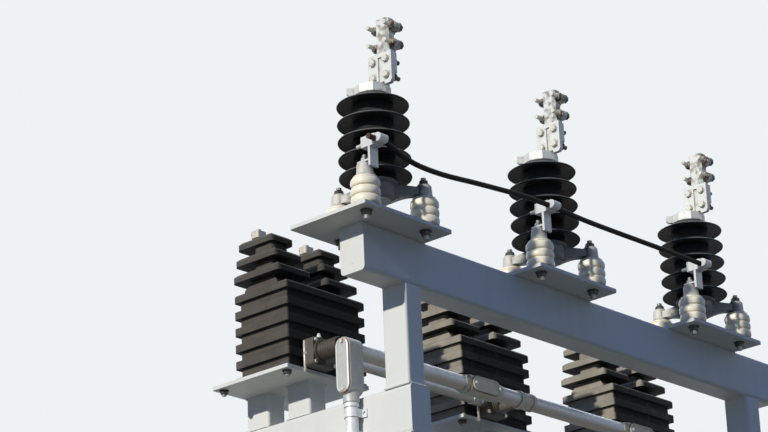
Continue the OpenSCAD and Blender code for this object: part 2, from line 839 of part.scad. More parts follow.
// The foot is cut back where it would come near the sheds
module lead_brackets() {
    color(cast_alloy) placed() for (i = [0 : 2]) difference() {
        translate([phases[i] + bracket_x + bracket_dx, 0, rail_top + boss_z + boss_h]) {
            translate([-bracket_side / 2, bracket_y - strap_back - strap_t, 0])
                cube([bracket_side, strap_back + strap_t + 14, bracket_t]);
            translate([-bracket_side / 2, bracket_y - strap_back - strap_t, -strap_hang])
                cube([bracket_side, strap_t, strap_hang + bracket_h - grip_h / 2 + bite]);
            translate([0, lead_y, bracket_h]) rotate([90, 0, 90])
                linear_extrude(bracket_side, center = true) lead_clamp_outline();
        }
        at_arrester(i) translate([0, 0, boss_z + boss_h - 1])
            cylinder(r = shed_d / 2 + shed_clear, h = bracket_h);
    }
}

upper_rail();
post(left_axis);  // post_left
post(right_axis);  // post_right
arm(arm_left_axis);  // arm_left
arm(arm_right_axis);  // arm_right
leg(left_axis, 0);  // front_leg_left
leg(right_axis, 0);  // front_leg_right
leg(left_axis, rear_leg_y);  // rear_leg_left
leg(right_axis, rear_leg_y);  // rear_leg_right
shelf_rail(-1);  // shelf_rail_front
shelf_rail(1);  // shelf_rail_back
arrester_plate(0);  // arrester_plate_1
arrester_plate(1);  // arrester_plate_2
arrester_plate(2);  // arrester_plate_3
foot_insulators(0);  // foot_insulators_1
foot_insulators(1);  // foot_insulators_2
foot_insulators(2);  // foot_insulators_3
tripod_base(0);  // tripod_base_1
tripod_base(1);  // tripod_base_2
tripod_base(2);  // tripod_base_3
arrester_housing(0);  // arrester_housing_1
arrester_housing(1);  // arrester_housing_2
arrester_housing(2);  // arrester_housing_3
arrester_cap(0);  // arrester_cap_1
arrester_cap(1);  // arrester_cap_2
arrester_cap(2);  // arrester_cap_3
line_clamp(0);  // line_clamp_1
line_clamp(1);  // line_clamp_2
line_clamp(2);  // line_clamp_3
transformer_stand(0);  // transformer_stand_1
transformer_stand(1);  // transformer_stand_2
transformer_stand(2);  // transformer_stand_3
transformer(0);  // transformer_1
transformer(1);  // transformer_2
transformer(2);  // transformer_3
terminal_box(0);  // terminal_box_1
terminal_box(1);  // terminal_box_2
terminal_box(2);  // terminal_box_3
long_conduit();
drop_conduit();
corner_fitting();
line_fittings();
earth_lead();
lead_brackets();
transformer_terminals();
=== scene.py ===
# %% [markdown]
# # An outdoor stand with three arresters and three voltage transformers
# The steel, the castings and the resin bodies come from the CAD model as solids in one frame.
# This lesson loads them, gives each one its real finish, and adds what lies on top of them: rubber
# sheds, glazed feet, bolts, screws, welds and the earth lead's jacket.

# %% Load the CAD model
import bmesh
import bpy
import math
from mathutils import Matrix, Vector


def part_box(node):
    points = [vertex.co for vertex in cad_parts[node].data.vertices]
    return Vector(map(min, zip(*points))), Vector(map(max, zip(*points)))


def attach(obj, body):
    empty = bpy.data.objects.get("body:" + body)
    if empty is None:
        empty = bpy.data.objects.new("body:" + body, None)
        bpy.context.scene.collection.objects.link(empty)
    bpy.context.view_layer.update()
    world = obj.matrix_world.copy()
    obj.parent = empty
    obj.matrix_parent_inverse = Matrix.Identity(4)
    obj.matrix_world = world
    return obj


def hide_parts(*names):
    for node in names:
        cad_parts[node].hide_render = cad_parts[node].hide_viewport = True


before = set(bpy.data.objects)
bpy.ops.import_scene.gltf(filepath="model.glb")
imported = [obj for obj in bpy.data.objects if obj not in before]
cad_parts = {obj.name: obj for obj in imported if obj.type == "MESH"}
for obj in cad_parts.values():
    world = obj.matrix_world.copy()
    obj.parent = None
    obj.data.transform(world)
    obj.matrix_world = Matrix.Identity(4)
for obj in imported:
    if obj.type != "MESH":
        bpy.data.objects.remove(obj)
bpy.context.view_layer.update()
MM = 0.001

# %% [markdown]
# ## Camera
# The photo was taken with a long lens from eye level, about seven metres away, looking up. The
# lens, place and tilt were fitted to the rail, the plates and the posts, so the camera is built
# from its heading, its elevation and a small roll, and nothing is aimed by eye.

# %% Camera at the photograph's place
EYE = Vector((-5.3786, -4.4120, 1.5958))
HEADING, ELEVATION, ROLL = (math.radians(a) for a in (41.598, 20.994, -2.390))
SENSOR_MM, LENS_MM, FAR_END = 36, 123.32, 100

forward = Vector((math.cos(HEADING) * math.cos(ELEVATION),
                  math.sin(HEADING) * math.cos(ELEVATION), math.sin(ELEVATION)))
level_right = Vector((math.sin(HEADING), -math.cos(HEADING), 0))
right = level_right * math.cos(ROLL) + level_right.cross(forward) * math.sin(ROLL)
camera_data = bpy.data.cameras.new("photo_camera")
camera_data.sensor_width = SENSOR_MM
camera_data.lens = LENS_MM
camera_data.clip_end = FAR_END
camera = bpy.data.objects.new("photo_camera", camera_data)
aimed = Matrix((right, right.cross(forward), -forward)).transposed()
camera.matrix_world = Matrix.Translation(EYE) @ aimed.to_4x4()
scene = bpy.context.scene
scene.collection.objects.link(camera)
scene.camera = camera
print("camera at", tuple(round(v, 2) for v in EYE), "with a", LENS_MM, "mm lens")

# %% [markdown]
# ## Light
# In the photograph a low sun stands to the left, so every face that looks left is bright and every
# face that looks at the camera is in cool shade. The lowest edges of the plates and of the rail cast
# shadows whose lengths give the sun's height: 0.40 up for each 1 across. One key and an even cool
# fill keep that reading, and a broad weak lamp behind lights the sides that the camera doesn't see.
# The fill is what diffuse rays see; the pale backdrop is what the camera and gloss see.

# %% Nodes: colours, links and a new node
def linear(hex_colour):
    """An sRGB hex colour as the linear RGBA that nodes and lamps take."""
    parts = [int(hex_colour[k:k + 2], 16) / 255 for k in (1, 3, 5)]
    return [c / 12.92 if c <= 0.04045 else ((c + 0.055) / 1.055) ** 2.4 for c in parts] + [1.0]


def join(tree, node, *links):
    """Fills sockets: each link is (socket, what), and a node stands for its first live output."""
    for where, what in links:
        if isinstance(what, bpy.types.Node):
            what = next(output for output in what.outputs if output.enabled)
        if isinstance(what, bpy.types.NodeSocket):
            tree.links.new(what, node.inputs[where])
        elif isinstance(what, str) and what.startswith("#"):
            node.inputs[where].default_value = linear(what)
        else:
            node.inputs[where].default_value = what


def add(tree, kind, *links, **named):
    """Adds one node: pairs and names with a capital fill its sockets, and other names are settings."""
    node = tree.nodes.new(kind)
    for name, value in named.items():
        if name[0].islower():
            setattr(node, name, value)
    sockets = [(name.replace("_", " "), value) for name, value in named.items() if name[0].isupper()]
    join(tree, node, *links, *sockets)
    return node


# %% Key light, fill and backdrop
scene.view_settings.view_transform = "Standard"


def sun(name, energy, width, colour, come_from):
    """A far lamp: width is its apparent size in degrees, come_from points from the object to it."""
    data = bpy.data.lights.new(name, "SUN")
    data.energy, data.angle, data.color = energy, math.radians(width), linear(colour)[:3]
    lamp = bpy.data.objects.new(name, data)
    lamp.matrix_world = Vector(come_from).to_track_quat("Z", "Y").to_matrix().to_4x4()
    scene.collection.objects.link(lamp)
    print(name, "lamp", energy)


sun("key", 3.15, 1.6, "#FFF9EE", (-1.0, -0.02, 0.40))
sun("back", 1.3, 50, "#F4F6FF", (0.75, 0.66, 0.55))

FILL = 0.32
world = bpy.data.worlds.new("studio")
scene.world = world
world.use_nodes = True
sky = world.node_tree
sky.nodes.clear()
seen = add(sky, "ShaderNodeLightPath")
mirrored = add(sky, "ShaderNodeMath", (0, seen.outputs["Is Glossy Ray"]),
               (1, seen.outputs["Is Transmission Ray"]), operation="MAXIMUM")
either = add(sky, "ShaderNodeMath", (0, seen.outputs["Is Camera Ray"]), (1, mirrored), operation="MAXIMUM")
fill = add(sky, "ShaderNodeBackground", Color="#7FAAF4", Strength=FILL)
backdrop = add(sky, "ShaderNodeBackground", Color="#EEF2F5", Strength=1.0)
pick = add(sky, "ShaderNodeMixShader", (0, either), (1, fill), (2, backdrop))
add(sky, "ShaderNodeOutputWorld", Surface=pick)
print("fill", FILL)

# %% [markdown]
# ## Finishes
# Each material is named for the real thing and how it was made. Patterns read Object coordinates,
# which are metres here because every piece's object sits at the origin, so a pattern of a given
# size in millimetres has a scale of one thousand over that size. Most finishes begin as two close
# tones mixed by a noise, because no weathered surface is one colour.


# %% A material's start, its mottle and its end
def per_mm(size):
    """Scale of a texture whose features are about this many millimetres."""
    return 1000 / size


def start_material(name, **shader):
    """An empty material with a Principled shader; constants go straight on its sockets."""
    material = bpy.data.materials.new(name)
    material.use_nodes = True
    tree = material.node_tree
    tree.nodes.clear()
    body = add(tree, "ShaderNodeBsdfPrincipled", **shader)
    add(tree, "ShaderNodeOutputMaterial", Surface=body)
    return material, tree, body, add(tree, "ShaderNodeTexCoord").outputs["Object"]


def mottled(tree, place, size, detail, low_tone, high_tone, roughness=0.5):
    """A noise with features of size mm, and the two tones it mixes."""
    noise = add(tree, "ShaderNodeTexNoise", Vector=place, Scale=per_mm(size), Detail=detail,
                Roughness=roughness)
    return noise, add(tree, "ShaderNodeMix", (0, noise), (6, low_tone), (7, high_tone), data_type="RGBA")


def blended(tree, source, start, end, most, under, over):
    """One tone laid over another: none of it where source is start, the share most where it is end."""
    share = add(tree, "ShaderNodeMapRange", (0, source), (1, start), (2, end), (4, most))
    return add(tree, "ShaderNodeMix", (0, share), (6, under), (7, over), data_type="RGBA")


def finish_surface(tree, body, colour, height, depth_mm, edge_mm=0.0):
    """Colour and a bump of a real depth, over edges rounded by edge_mm where that is given."""
    bump = add(tree, "ShaderNodeBump", Height=height, Distance=depth_mm * MM, Strength=1.0)
    if edge_mm:
        rounded = add(tree, "ShaderNodeBevel", Radius=edge_mm * MM, samples=6)
        join(tree, bump, ("Normal", rounded))
    join(tree, body, ("Base Color", colour), ("Normal", bump))


# %% [markdown]
# ### Paint on steel tube
# The frame is shop-painted in a light blue-grey. Close up such paint has a fine orange peel, and it
# chalks in broad patches. Rain leaves only a faint run here and there, and a few pinholes rust. A
# painted map could hold such marks, but every tube would have to be unwrapped for it, so patterns of
# their real sizes draw them in place: the chalk is a wide noise, and the runs are one stretched
# upright.

# %% Satin enamel, weathered
paint, tree, body, place = start_material(
    "satin_enamel_on_steel", Roughness=0.5, IOR=1.5, Specular_IOR_Level=0.25)
chalk = mottled(tree, place, 240, 5.0, "#D6D9D7", "#E3E5E0")[1]
stretch = add(tree, "ShaderNodeMapping", Vector=place, Scale=(1.0, 1.0, 0.10))
streaks = add(tree, "ShaderNodeTexNoise", Vector=stretch, Scale=per_mm(30), Detail=3.0)
rained = blended(tree, streaks, 0.5, 0.9, 0.22, chalk, "#B4B6AF")
pinholes = add(tree, "ShaderNodeTexVoronoi", Vector=place, Scale=per_mm(85))
rusted = blended(tree, pinholes, 0.03, 0.012, 0.6, rained, "#80573A")
peel = add(tree, "ShaderNodeTexNoise", Vector=place, Scale=per_mm(3.5), Detail=2.0)
finish_surface(tree, body, rusted, peel, 0.08, edge_mm=2.0)
print(paint.name)

# %% [markdown]
# ### Sand-cast aluminium
# The clamps, caps, tripods and conduit bodies are sand castings left bare. Their skin is pitted at
# the sand's grain, drawn here as coarse as it needs to show, and the oxide is dull and mottled. Its
# corners darken brown, partly stain where steel bolts drip and partly painted shade in the recesses.
# The lead's brackets are galvanised strap, whose dull mottled skin takes the same recipe.


# %% Sand-cast aluminium, with stain and painted shade in its corners
def cast_aluminium(name, light, dull, stain_and_shade_tone, stain_and_shade_amount, roughness, metallic):
    """Bare casting: mottled oxide, sand pits, and brown in the corners, partly bolt stain and partly painted
    shade.
    """
    material, tree, body, place = start_material(name, Roughness=roughness, Metallic=metallic)
    oxide = mottled(tree, place, 22, 6.0, dull, light, roughness=0.6)[1]
    drips = add(tree, "ShaderNodeTexNoise", Vector=place, Scale=per_mm(14), Detail=4.0)
    # Painted shade with stain: brown where ambient occlusion finds a corner.
    open_sky = add(tree, "ShaderNodeAmbientOcclusion", Distance=9 * MM, samples=6)
    shut = add(tree, "ShaderNodeMath", (0, drips), (1, open_sky.outputs["AO"]), operation="SUBTRACT")
    stain_and_corner_shade = blended(tree, shut, -0.42, -0.12, stain_and_shade_amount, oxide, stain_and_shade_tone)
    grain = add(tree, "ShaderNodeTexNoise", Vector=place, Scale=per_mm(1.6), Detail=2.0)
    finish_surface(tree, body, stain_and_corner_shade, grain, 0.35, edge_mm=1.6)
    return material


clamp_metal, tripod_metal, fitting_metal, corner_metal, box_metal, bracket_metal = (
    cast_aluminium(*metal) for metal in (
        ("cast_aluminium_clamp", "#E6E9E6", "#CED2CF", "#7E6A57", 0.55, 0.55, 0.15),
        ("cast_aluminium_tripod", "#DEDCD2", "#B4B5B2", "#6B5C49", 0.6, 0.6, 0.1),
        ("cast_aluminium_fitting", "#DBD6C6", "#B7B2A2", "#7A705F", 0.5, 0.55, 0.15),
        ("cast_aluminium_corner", "#C9CCC8", "#A3A7A5", "#7C7160", 0.4, 0.5, 0.2),
        ("soot_dark_casting", "#68645C", "#43403B", "#5B5142", 0.5, 0.55, 0.1),
        ("galvanised_strap", "#D9DDDC", "#BDC3C5", "#8D8371", 0.3, 0.5, 0.2)))
print("six bare metals")

# %% [markdown]
# Painted shade darkens each tripod's hub and the roots of its arms, where the sheds and the front
# foot keep the low sun off them, while the bosses stay light. The distance from a point beside the
# nearest arrester's axis, on the side away from the sun, drives that shade: wrapping X by the pitch
# of the phases gives one rule for three tripods.


# %% Painted shade on the tripod hubs
def middle_of(node):
    """The middle of a CAD node's box."""
    low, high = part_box(node)
    return Vector(((low.x + high.x) / 2, (low.y + high.y) / 2, (low.z + high.z) / 2))


def opened(material):
    """A material that is made already: its tree, shader, colour so far and coordinates."""
    tree = material.node_tree
    body = next(node for node in tree.nodes if node.type == "BSDF_PRINCIPLED")
    colour = body.inputs["Base Color"].links[0].from_socket
    return tree, body, colour, add(tree, "ShaderNodeTexCoord").outputs["Object"]


PHASE_PITCH = 680 * MM
SHADE_SHIFT, SHADE_FULL, SHADE_END = 38 * MM, 80 * MM, 118 * MM
tree, body, clean_metal, place = opened(tripod_metal)
hub = middle_of("arrester_housing_2")
apart = add(tree, "ShaderNodeSeparateXYZ", (0, place))
across = add(tree, "ShaderNodeMath", (0, apart.outputs["X"]), (1, hub.x + PHASE_PITCH / 2),
             (2, hub.x - PHASE_PITCH / 2), operation="WRAP")
flat_place = add(tree, "ShaderNodeCombineXYZ", (0, across), (1, apart.outputs["Y"]))
from_axis = add(tree, "ShaderNodeVectorMath", (0, flat_place), (1, (hub.x + SHADE_SHIFT, hub.y, 0)),
                operation="DISTANCE")
patchy = add(tree, "ShaderNodeTexNoise", Vector=place, Scale=per_mm(25), Detail=4.0)
reach = add(tree, "ShaderNodeMapRange", (0, from_axis), (1, SHADE_FULL), (2, SHADE_END), (3, 1.25), (4, 0.0))
painted_hub_shade = add(tree, "ShaderNodeMath", (0, reach), (1, patchy), operation="MULTIPLY")
# Painted shade: a slate tone laid over the metal round each hub.
join(tree, body, ("Base Color", blended(tree, painted_hub_shade, 0.15, 0.5, 0.9, clean_metal, "#555B5F")))
# The printed distance is where the painted shade on the hubs ends.
print("grime fades out", round(SHADE_END, 3), "m from its middle")

# %% [markdown]
# The clamps' jaws carry painted shade in patches about a centimetre across, where the keepers and
# bolts shade them, and the smooth pads below stay light, so height on the clamp and a noise together
# decide where the metal is dark.

# %% Painted shade on the clamp jaws
JAW_REACH, JAW_FADE = 104 * MM, 22 * MM
jaw_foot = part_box("line_clamp_1")[1].z - JAW_REACH
tree, body, clean_metal, place = opened(clamp_metal)
height = add(tree, "ShaderNodeSeparateXYZ", (0, place))
on_jaw = add(tree, "ShaderNodeMapRange", (0, height.outputs["Z"]), (1, jaw_foot), (2, jaw_foot + JAW_FADE))
jaw_shade_noise = add(tree, "ShaderNodeTexNoise", Vector=place, Scale=per_mm(17), Detail=5.0)
patches = add(tree, "ShaderNodeMapRange", (0, jaw_shade_noise), (1, 0.44), (2, 0.60), (4, 0.78))
painted_jaw_shade = add(tree, "ShaderNodeMath", (0, patches), (1, on_jaw), operation="MULTIPLY")
# Painted shade: a dark tone in patches on the jaws.
jaw_with_painted_shade = add(tree, "ShaderNodeMix", (0, painted_jaw_shade), (6, clean_metal), (7, "#736D62"), data_type="RGBA")
join(tree, body, ("Base Color", jaw_with_painted_shade))
# The printed height is where the painted shade on the jaws begins.
print("soot above", round(jaw_foot, 3), "m")

# %% [markdown]
# ### Galvanised conduit
# Hot-dip zinc freezes in spangles about a centimetre across and greys with age. The undersides take
# a painted tan tone of light bounced up from the ground, so that tone follows the surface's own normal.

# %% Hot-dip galvanised steel
conduit_zinc, tree, body, place = start_material("hot_dip_galvanised", Metallic=0.2)
spangle = add(tree, "ShaderNodeTexVoronoi", Vector=place, Scale=per_mm(9))
tint = spangle.outputs["Color"]
zinc = add(tree, "ShaderNodeMix", (0, tint), (6, "#D2D9DE"), (7, "#EAEFF2"), data_type="RGBA")
slope = add(tree, "ShaderNodeSeparateXYZ", (0, add(tree, "ShaderNodeNewGeometry").outputs["Normal"]))
# Painted bounce light: a tan tone on faces that look down.
painted_bounce_tint = blended(tree, slope.outputs["Z"], 0.0, -0.7, 0.9, zinc, "#B9B09A")
dull_zinc = add(tree, "ShaderNodeMapRange", (0, tint), (3, 0.34), (4, 0.52))
join(tree, body, ("Roughness", dull_zinc))
finish_surface(tree, body, painted_bounce_tint, spangle, 0.05, edge_mm=0.8)
print(conduit_zinc.name)

# %% [markdown]
# ### Glazed porcelain, rubber and cast resin
# The feet are cream-glazed porcelain: a clear gloss dulled by weather over an even body, with grime
# and painted shade in the grooves. The housings are black silicone rubber, matt, with a pale line on
# each rim that is partly dust and partly painted highlight. The transformers are filled outdoor
# resin, lighter on the sides that face the sun: partly chalk, partly painted sunlight. Such marks
# could be painted on by hand. Here the shape drives them, so they follow any change: the shade in a
# groove, a value stored on each rim, and the direction that a face looks in.

# %% Glazed porcelain
porcelain, tree, body, place = start_material(
    "cream_glazed_porcelain", Roughness=0.42, IOR=1.5, Coat_Weight=0.25, Coat_Roughness=0.25)
# Painted shade with grime: the glaze darkens where ambient occlusion finds a groove.
groove = add(tree, "ShaderNodeAmbientOcclusion", Distance=12 * MM, samples=6)
grime = add(tree, "ShaderNodeTexNoise", Vector=place, Scale=per_mm(18), Detail=4.0)
grime_and_groove_shade = add(tree, "ShaderNodeMath", (0, groove.outputs["AO"]), (1, grime), operation="ADD")
glaze = blended(tree, grime_and_groove_shade, 0.55, 1.05, 1.0, "#A89F80", "#F7F0D8")
finish_surface(tree, body, glaze, grime, 0.1)
print(porcelain.name)

# %% Silicone rubber
rubber, tree, body, place = start_material(
    "black_silicone_rubber", Roughness=0.55, IOR=1.41, Specular_IOR_Level=0.2)
rim = add(tree, "ShaderNodeAttribute", attribute_name="rim_dust")
soil, soiled = mottled(tree, place, 30, 5.0, "#0E1013", "#242525")
# Painted highlight with dust: a pale line on each shed's rim.
dusted_and_highlit = add(tree, "ShaderNodeMix", (0, rim.outputs["Fac"]), (6, soiled), (7, "#8B8C8A"), data_type="RGBA")
finish_surface(tree, body, dusted_and_highlit, soil, 0.3)
print(rubber.name)

# %% Cast resin, lighter on its sunny sides with chalk and painted sunlight
# SUNNY is the key lamp's direction: the lighter sunny side is painted sunlight as well as chalk.
SUNNY = (-0.93, 0.0, 0.37)


def cast_resin(name, fresh, chalk, rain):
    """Black filled resin: the sides that face the sun are lighter, partly chalk and partly painted sunlight,
    and rain marks them along the bands.
    """
    material, tree, body, place = start_material(name, Roughness=0.7, IOR=1.5, Specular_IOR_Level=0.2)
    normal = add(tree, "ShaderNodeNewGeometry").outputs["Normal"]
    facing_sun = add(tree, "ShaderNodeVectorMath", (0, normal), (1, SUNNY), operation="DOT_PRODUCT")
    bloom = add(tree, "ShaderNodeTexNoise", Vector=place, Scale=per_mm(55), Detail=6.0, Roughness=0.62)
    uneven = add(tree, "ShaderNodeMath", (0, facing_sun), (1, bloom), operation="ADD")
    sunned = add(tree, "ShaderNodeMapRange", (0, uneven), (1, 0.55), (2, 1.55))
    chalk_and_painted_sun = add(tree, "ShaderNodeMix", (0, sunned), (6, fresh), (7, chalk), data_type="RGBA")
    stretch = add(tree, "ShaderNodeMapping", Vector=place, Scale=(0.12, 0.12, 1.0))
    runs = add(tree, "ShaderNodeTexNoise", Vector=stretch, Scale=per_mm(11), Detail=3.0)
    run_mask = add(tree, "ShaderNodeMapRange", (0, runs), (1, 0.52), (2, 0.74), (4, 0.4))
    marks = add(tree, "ShaderNodeMath", (0, run_mask), (1, sunned), operation="MULTIPLY")
    washed = add(tree, "ShaderNodeMix", (0, marks), (6, chalk_and_painted_sun), (7, rain), data_type="RGBA")
    sand = add(tree, "ShaderNodeTexNoise", Vector=place, Scale=per_mm(2.5), Detail=3.0)
    finish_surface(tree, body, washed, sand, 0.3, edge_mm=3.0)
    return material


# The first transformer's copy is darker on its sunny side than the other two's.
resin = cast_resin("filled_cast_resin", "#18191A", "#524F49", "#6A665D")
chalky_resin = cast_resin("chalky_cast_resin", "#191B1D", "#979184", "#A8A293")
print(resin.name, chalky_resin.name)

# %% [markdown]
# ### Bolts and the lead
# Line hardware is zinc-plated steel that has begun to rust in specks, so a fine noise mixes its two
# colours. The earth lead has a brown-black jacket, scuffed to grey: brown at the near end, where
# the sun has bleached it, and black further along.


# %% Plated steel and the jacket
def plated(name, bright, rust, rust_from, roughness):
    """Zinc-plated steel, rusting where a fine noise is above rust_from."""
    material, tree, body, place = start_material(name, Metallic=0.7, Roughness=roughness)
    specks = add(tree, "ShaderNodeTexNoise", Vector=place, Scale=per_mm(9), Detail=5.0)
    metal = blended(tree, specks, rust_from, rust_from + 0.12, 1.0, bright, rust)
    finish_surface(tree, body, metal, specks, 0.2, edge_mm=0.6)
    return material


bolt_zinc = plated("zinc_plated_bolt", "#C6C5BD", "#76604C", 0.62, 0.5)
bolt_rusty = plated("rusty_plated_bolt", "#9A9283", "#4F3C2F", 0.46, 0.6)
bolt_dark = plated("oiled_dark_bolt", "#4B4D4D", "#33302D", 0.5, 0.55)
stud_grey = plated("weathered_zinc_stud", "#8E918F", "#5E564C", 0.55, 0.6)
screw_bright = plated("bright_zinc_screw", "#D6D6CE", "#8C6A50", 0.66, 0.4)

BROWN_TO, BLACK_FROM = -0.90, -0.875
jacket, tree, body, place = start_material("scuffed_rubber_jacket", Roughness=0.6, Specular_IOR_Level=0.12)
scuffs, worn = mottled(tree, place, 26, 6.0, "#3A2A25", "#6A5248")
fresh = add(tree, "ShaderNodeMix", (0, scuffs), (6, "#0A090B"), (7, "#171516"), data_type="RGBA")
along = add(tree, "ShaderNodeSeparateXYZ", (0, place))
bleached = blended(tree, along.outputs["X"], BROWN_TO, BLACK_FROM, 1.0, worn, fresh)
finish_surface(tree, body, bleached, scuffs, 0.4)
print("five bolt finishes and the jacket")

# %% [markdown]
# ### Covers, gaskets, sleeve and plugs
# The corner body's cover is a zinc-plated pressing that rusts from its screws at both ends, so
# distance from the cover's middle drives the rust. Its cork-rubber gasket has gone red-brown. The
# ribbed sleeve and the line bodies' gaskets are neoprene, matt black under dust, and the plugs are
# clean moulded polyethylene, whose light comes back softly from inside. Those three finishes differ
# only in tones, grain and sheen.

# %% Corner cover
BODY_L, RUST_FROM, RUST_FULL = 150 * MM, 56 * MM, 70 * MM
cover_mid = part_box("corner_fitting")[1].z - BODY_L / 2
corner_cover, tree, body, place = start_material("rust_ended_zinc_cover", Metallic=0.45, Roughness=0.42)
blotch = add(tree, "ShaderNodeTexNoise", Vector=place, Scale=per_mm(7), Detail=5.0)
height = add(tree, "ShaderNodeSeparateXYZ", (0, place))
off = add(tree, "ShaderNodeMath", (0, height.outputs["Z"]), (1, cover_mid), operation="SUBTRACT")
from_mid = add(tree, "ShaderNodeMath", (0, off), operation="ABSOLUTE")
at_end = add(tree, "ShaderNodeMapRange", (0, from_mid), (1, RUST_FROM), (2, RUST_FULL), (4, 0.5))
rusting = add(tree, "ShaderNodeMath", (0, at_end), (1, blotch), operation="ADD")
pressed = blended(tree, rusting, 0.72, 0.95, 0.75, "#D3D6D4", "#A0705F")
finish_surface(tree, body, pressed, blotch, 0.15)
print(corner_cover.name)


# %% Gasket, sleeve and plug
def two_tone(name, size, detail, low_tone, high_tone, depth_mm, **shader):
    """One moulded material in two tones, with a bump that follows them."""
    material, tree, body, place = start_material(name, **shader)
    grain, tones = mottled(tree, place, size, detail, low_tone, high_tone)
    finish_surface(tree, body, tones, grain, depth_mm)
    return material


gasket_rust = two_tone("cork_rubber_gasket", 3, 3.0, "#6B4136", "#A87766", 0.2, Roughness=0.75)
sleeve_rubber = two_tone("ribbed_neoprene_sleeve", 12, 5.0, "#211F1D", "#5A5448", 0.2,
                         Roughness=0.6, Specular_IOR_Level=0.3)
plug_white = two_tone("moulded_white_polyethylene", 6, 3.0, "#D9D6CC", "#F0EEE8", 0.1,
                      Roughness=0.4, Subsurface_Weight=0.15)
print("gasket, sleeve and plug")

# %% [markdown]
# ## Finishes onto the CAD solids
# A CAD node keeps its shape and place. Only its material slot changes, by the start of its name.

# %% Assign by name
FINISH_OF = {
    "upper_rail": paint, "post_": paint, "arm_": paint, "front_leg": paint, "rear_leg": paint,
    "shelf_rail": paint, "arrester_plate": paint, "transformer_stand": paint,
    "foot_insulators": porcelain, "tripod_base": tripod_metal, "arrester_housing": rubber,
    "arrester_cap": clamp_metal, "line_clamp": clamp_metal, "transformer_terminals": fitting_metal,
    "transformer_1": resin, "transformer_2": chalky_resin, "transformer_3": chalky_resin,
    "terminal_box": box_metal, "corner_fitting": corner_metal, "line_fittings": fitting_metal,
    "long_conduit": conduit_zinc, "drop_conduit": conduit_zinc, "earth_lead": jacket,
    "lead_brackets": bracket_metal,
}
for name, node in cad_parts.items():
    start = max((s for s in FINISH_OF if name.startswith(s)), key=len)
    node.data.materials.clear()
    node.data.materials.append(FINISH_OF[start])
print("finishes on", len(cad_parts), "nodes")

# %% [markdown]
# ## Making pieces
# Most pieces come from a few helpers. One turns rows of points into a round piece, as a lathe
# does. One runs a Geometry Nodes tree on a mesh of points and keeps the result as a plain mesh. Two
# are parts of trees: setting a shape on points, and the way that every tree here ends.


# %% A lathe
def settle(mesh, name, material, sharp_from):
    """A bmesh as a smooth object whose edges stay sharp from an angle in degrees; normals point out."""
    bmesh.ops.recalc_face_normals(mesh, faces=mesh.faces)
    for face in mesh.faces:
        face.smooth = True
    data = bpy.data.meshes.new(name)
    mesh.to_mesh(data)
    mesh.free()
    data.materials.append(material)
    data.set_sharp_from_angle(angle=math.radians(sharp_from))
    return bpy.data.objects.new(name, data)


def lathe(name, outline, material, sides=64, dust_and_highlight=None):
    """A closed round piece from (radius, height) points in mm that start and end on the axis."""
    mesh = bmesh.new()
    layer = mesh.verts.layers.float.new("rim_dust")
    rings = []
    for k, (radius, height) in enumerate(outline):
        count = 1 if radius == 0 else sides
        ring = [mesh.verts.new((radius * MM * math.cos(2 * math.pi * j / sides),
                                radius * MM * math.sin(2 * math.pi * j / sides), height * MM))
                for j in range(count)]
        for vert in ring:
            vert[layer] = dust_and_highlight[k] if dust_and_highlight else 0.0
        rings.append(ring)
    for low, high in zip(rings, rings[1:]):
        for j in range(sides):
            n = (j + 1) % sides
            corners = [low[j % len(low)], low[n % len(low)], high[n % len(high)], high[j % len(high)]]
            mesh.faces.new(list(dict.fromkeys(corners)))
    return settle(mesh, name, material, 50)


# %% A point cloud for Geometry Nodes, and the steps that make its result a mesh
UP, DOWN, LEFT, RIGHT, FRONT, BACK = (0, 0, 1), (0, 0, -1), (-1, 0, 0), (1, 0, 0), (0, -1, 0), (0, 1, 0)


def points_host(name, places, axes=None, edges=()):
    """A mesh of bare points, with the direction each one faces as an attribute."""
    data = bpy.data.meshes.new(name)
    data.from_pydata([tuple(p) for p in places], list(edges), [])
    facing = data.attributes.new("axis", "FLOAT_VECTOR", "POINT")
    for k, axis in enumerate(axes or [UP] * len(places)):
        facing.data[k].vector = axis
    host = bpy.data.objects.new(name, data)
    scene.collection.objects.link(host)
    return host


def new_tree(name, *inputs):
    """A Geometry Nodes tree, the sockets of its named inputs, and their identifiers."""
    tree = bpy.data.node_groups.new(name, "GeometryNodeTree")
    tree.interface.new_socket("Geometry", in_out="INPUT", socket_type="NodeSocketGeometry")
    tree.interface.new_socket("Geometry", in_out="OUTPUT", socket_type="NodeSocketGeometry")
    names = {}
    for label, kind in inputs:
        socket = tree.interface.new_socket(label, in_out="INPUT", socket_type="NodeSocket" + kind)
        names[label] = socket.identifier
    return tree, add(tree, "NodeGroupInput").outputs, names


def set_on_points(tree, points, shape):
    """Sets a shape on each point, its Z turned to the direction that the point faces."""
    facing = add(tree, "GeometryNodeInputNamedAttribute", Name="axis", data_type="FLOAT_VECTOR")
    turn = add(tree, "FunctionNodeAlignRotationToVector", Vector=facing, axis="Z")
    return add(tree, "GeometryNodeInstanceOnPoints", Points=points, Instance=shape, Rotation=turn)


def end_tree(tree, shape, *finishes):
    """Makes the instances real, sets each finish on the faces it picks, and ends the tree."""
    last = add(tree, "GeometryNodeRealizeInstances", (0, shape))
    for finish in finishes:
        last = add(tree, "GeometryNodeSetMaterial", (0, last), *finish)
    add(tree, "NodeGroupOutput", (0, last))


def grow(host, tree, names, **values):
    """Runs the tree on host with these inputs, and leaves host as a plain mesh."""
    modifier = host.modifiers.new(tree.name, "NODES")
    modifier.node_group = tree
    for label, value in values.items():
        modifier[names[label.replace("_", " ")]] = value
    graph = bpy.context.evaluated_depsgraph_get()
    mesh = bpy.data.meshes.new_from_object(host.evaluated_get(graph), depsgraph=graph)
    host.modifiers.clear()
    host.data = mesh
    mesh.name = host.name
    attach(host, "root")
    print(f"{host.name}: {sum(len(f.vertices) - 2 for f in mesh.polygons)} triangles")
    return host
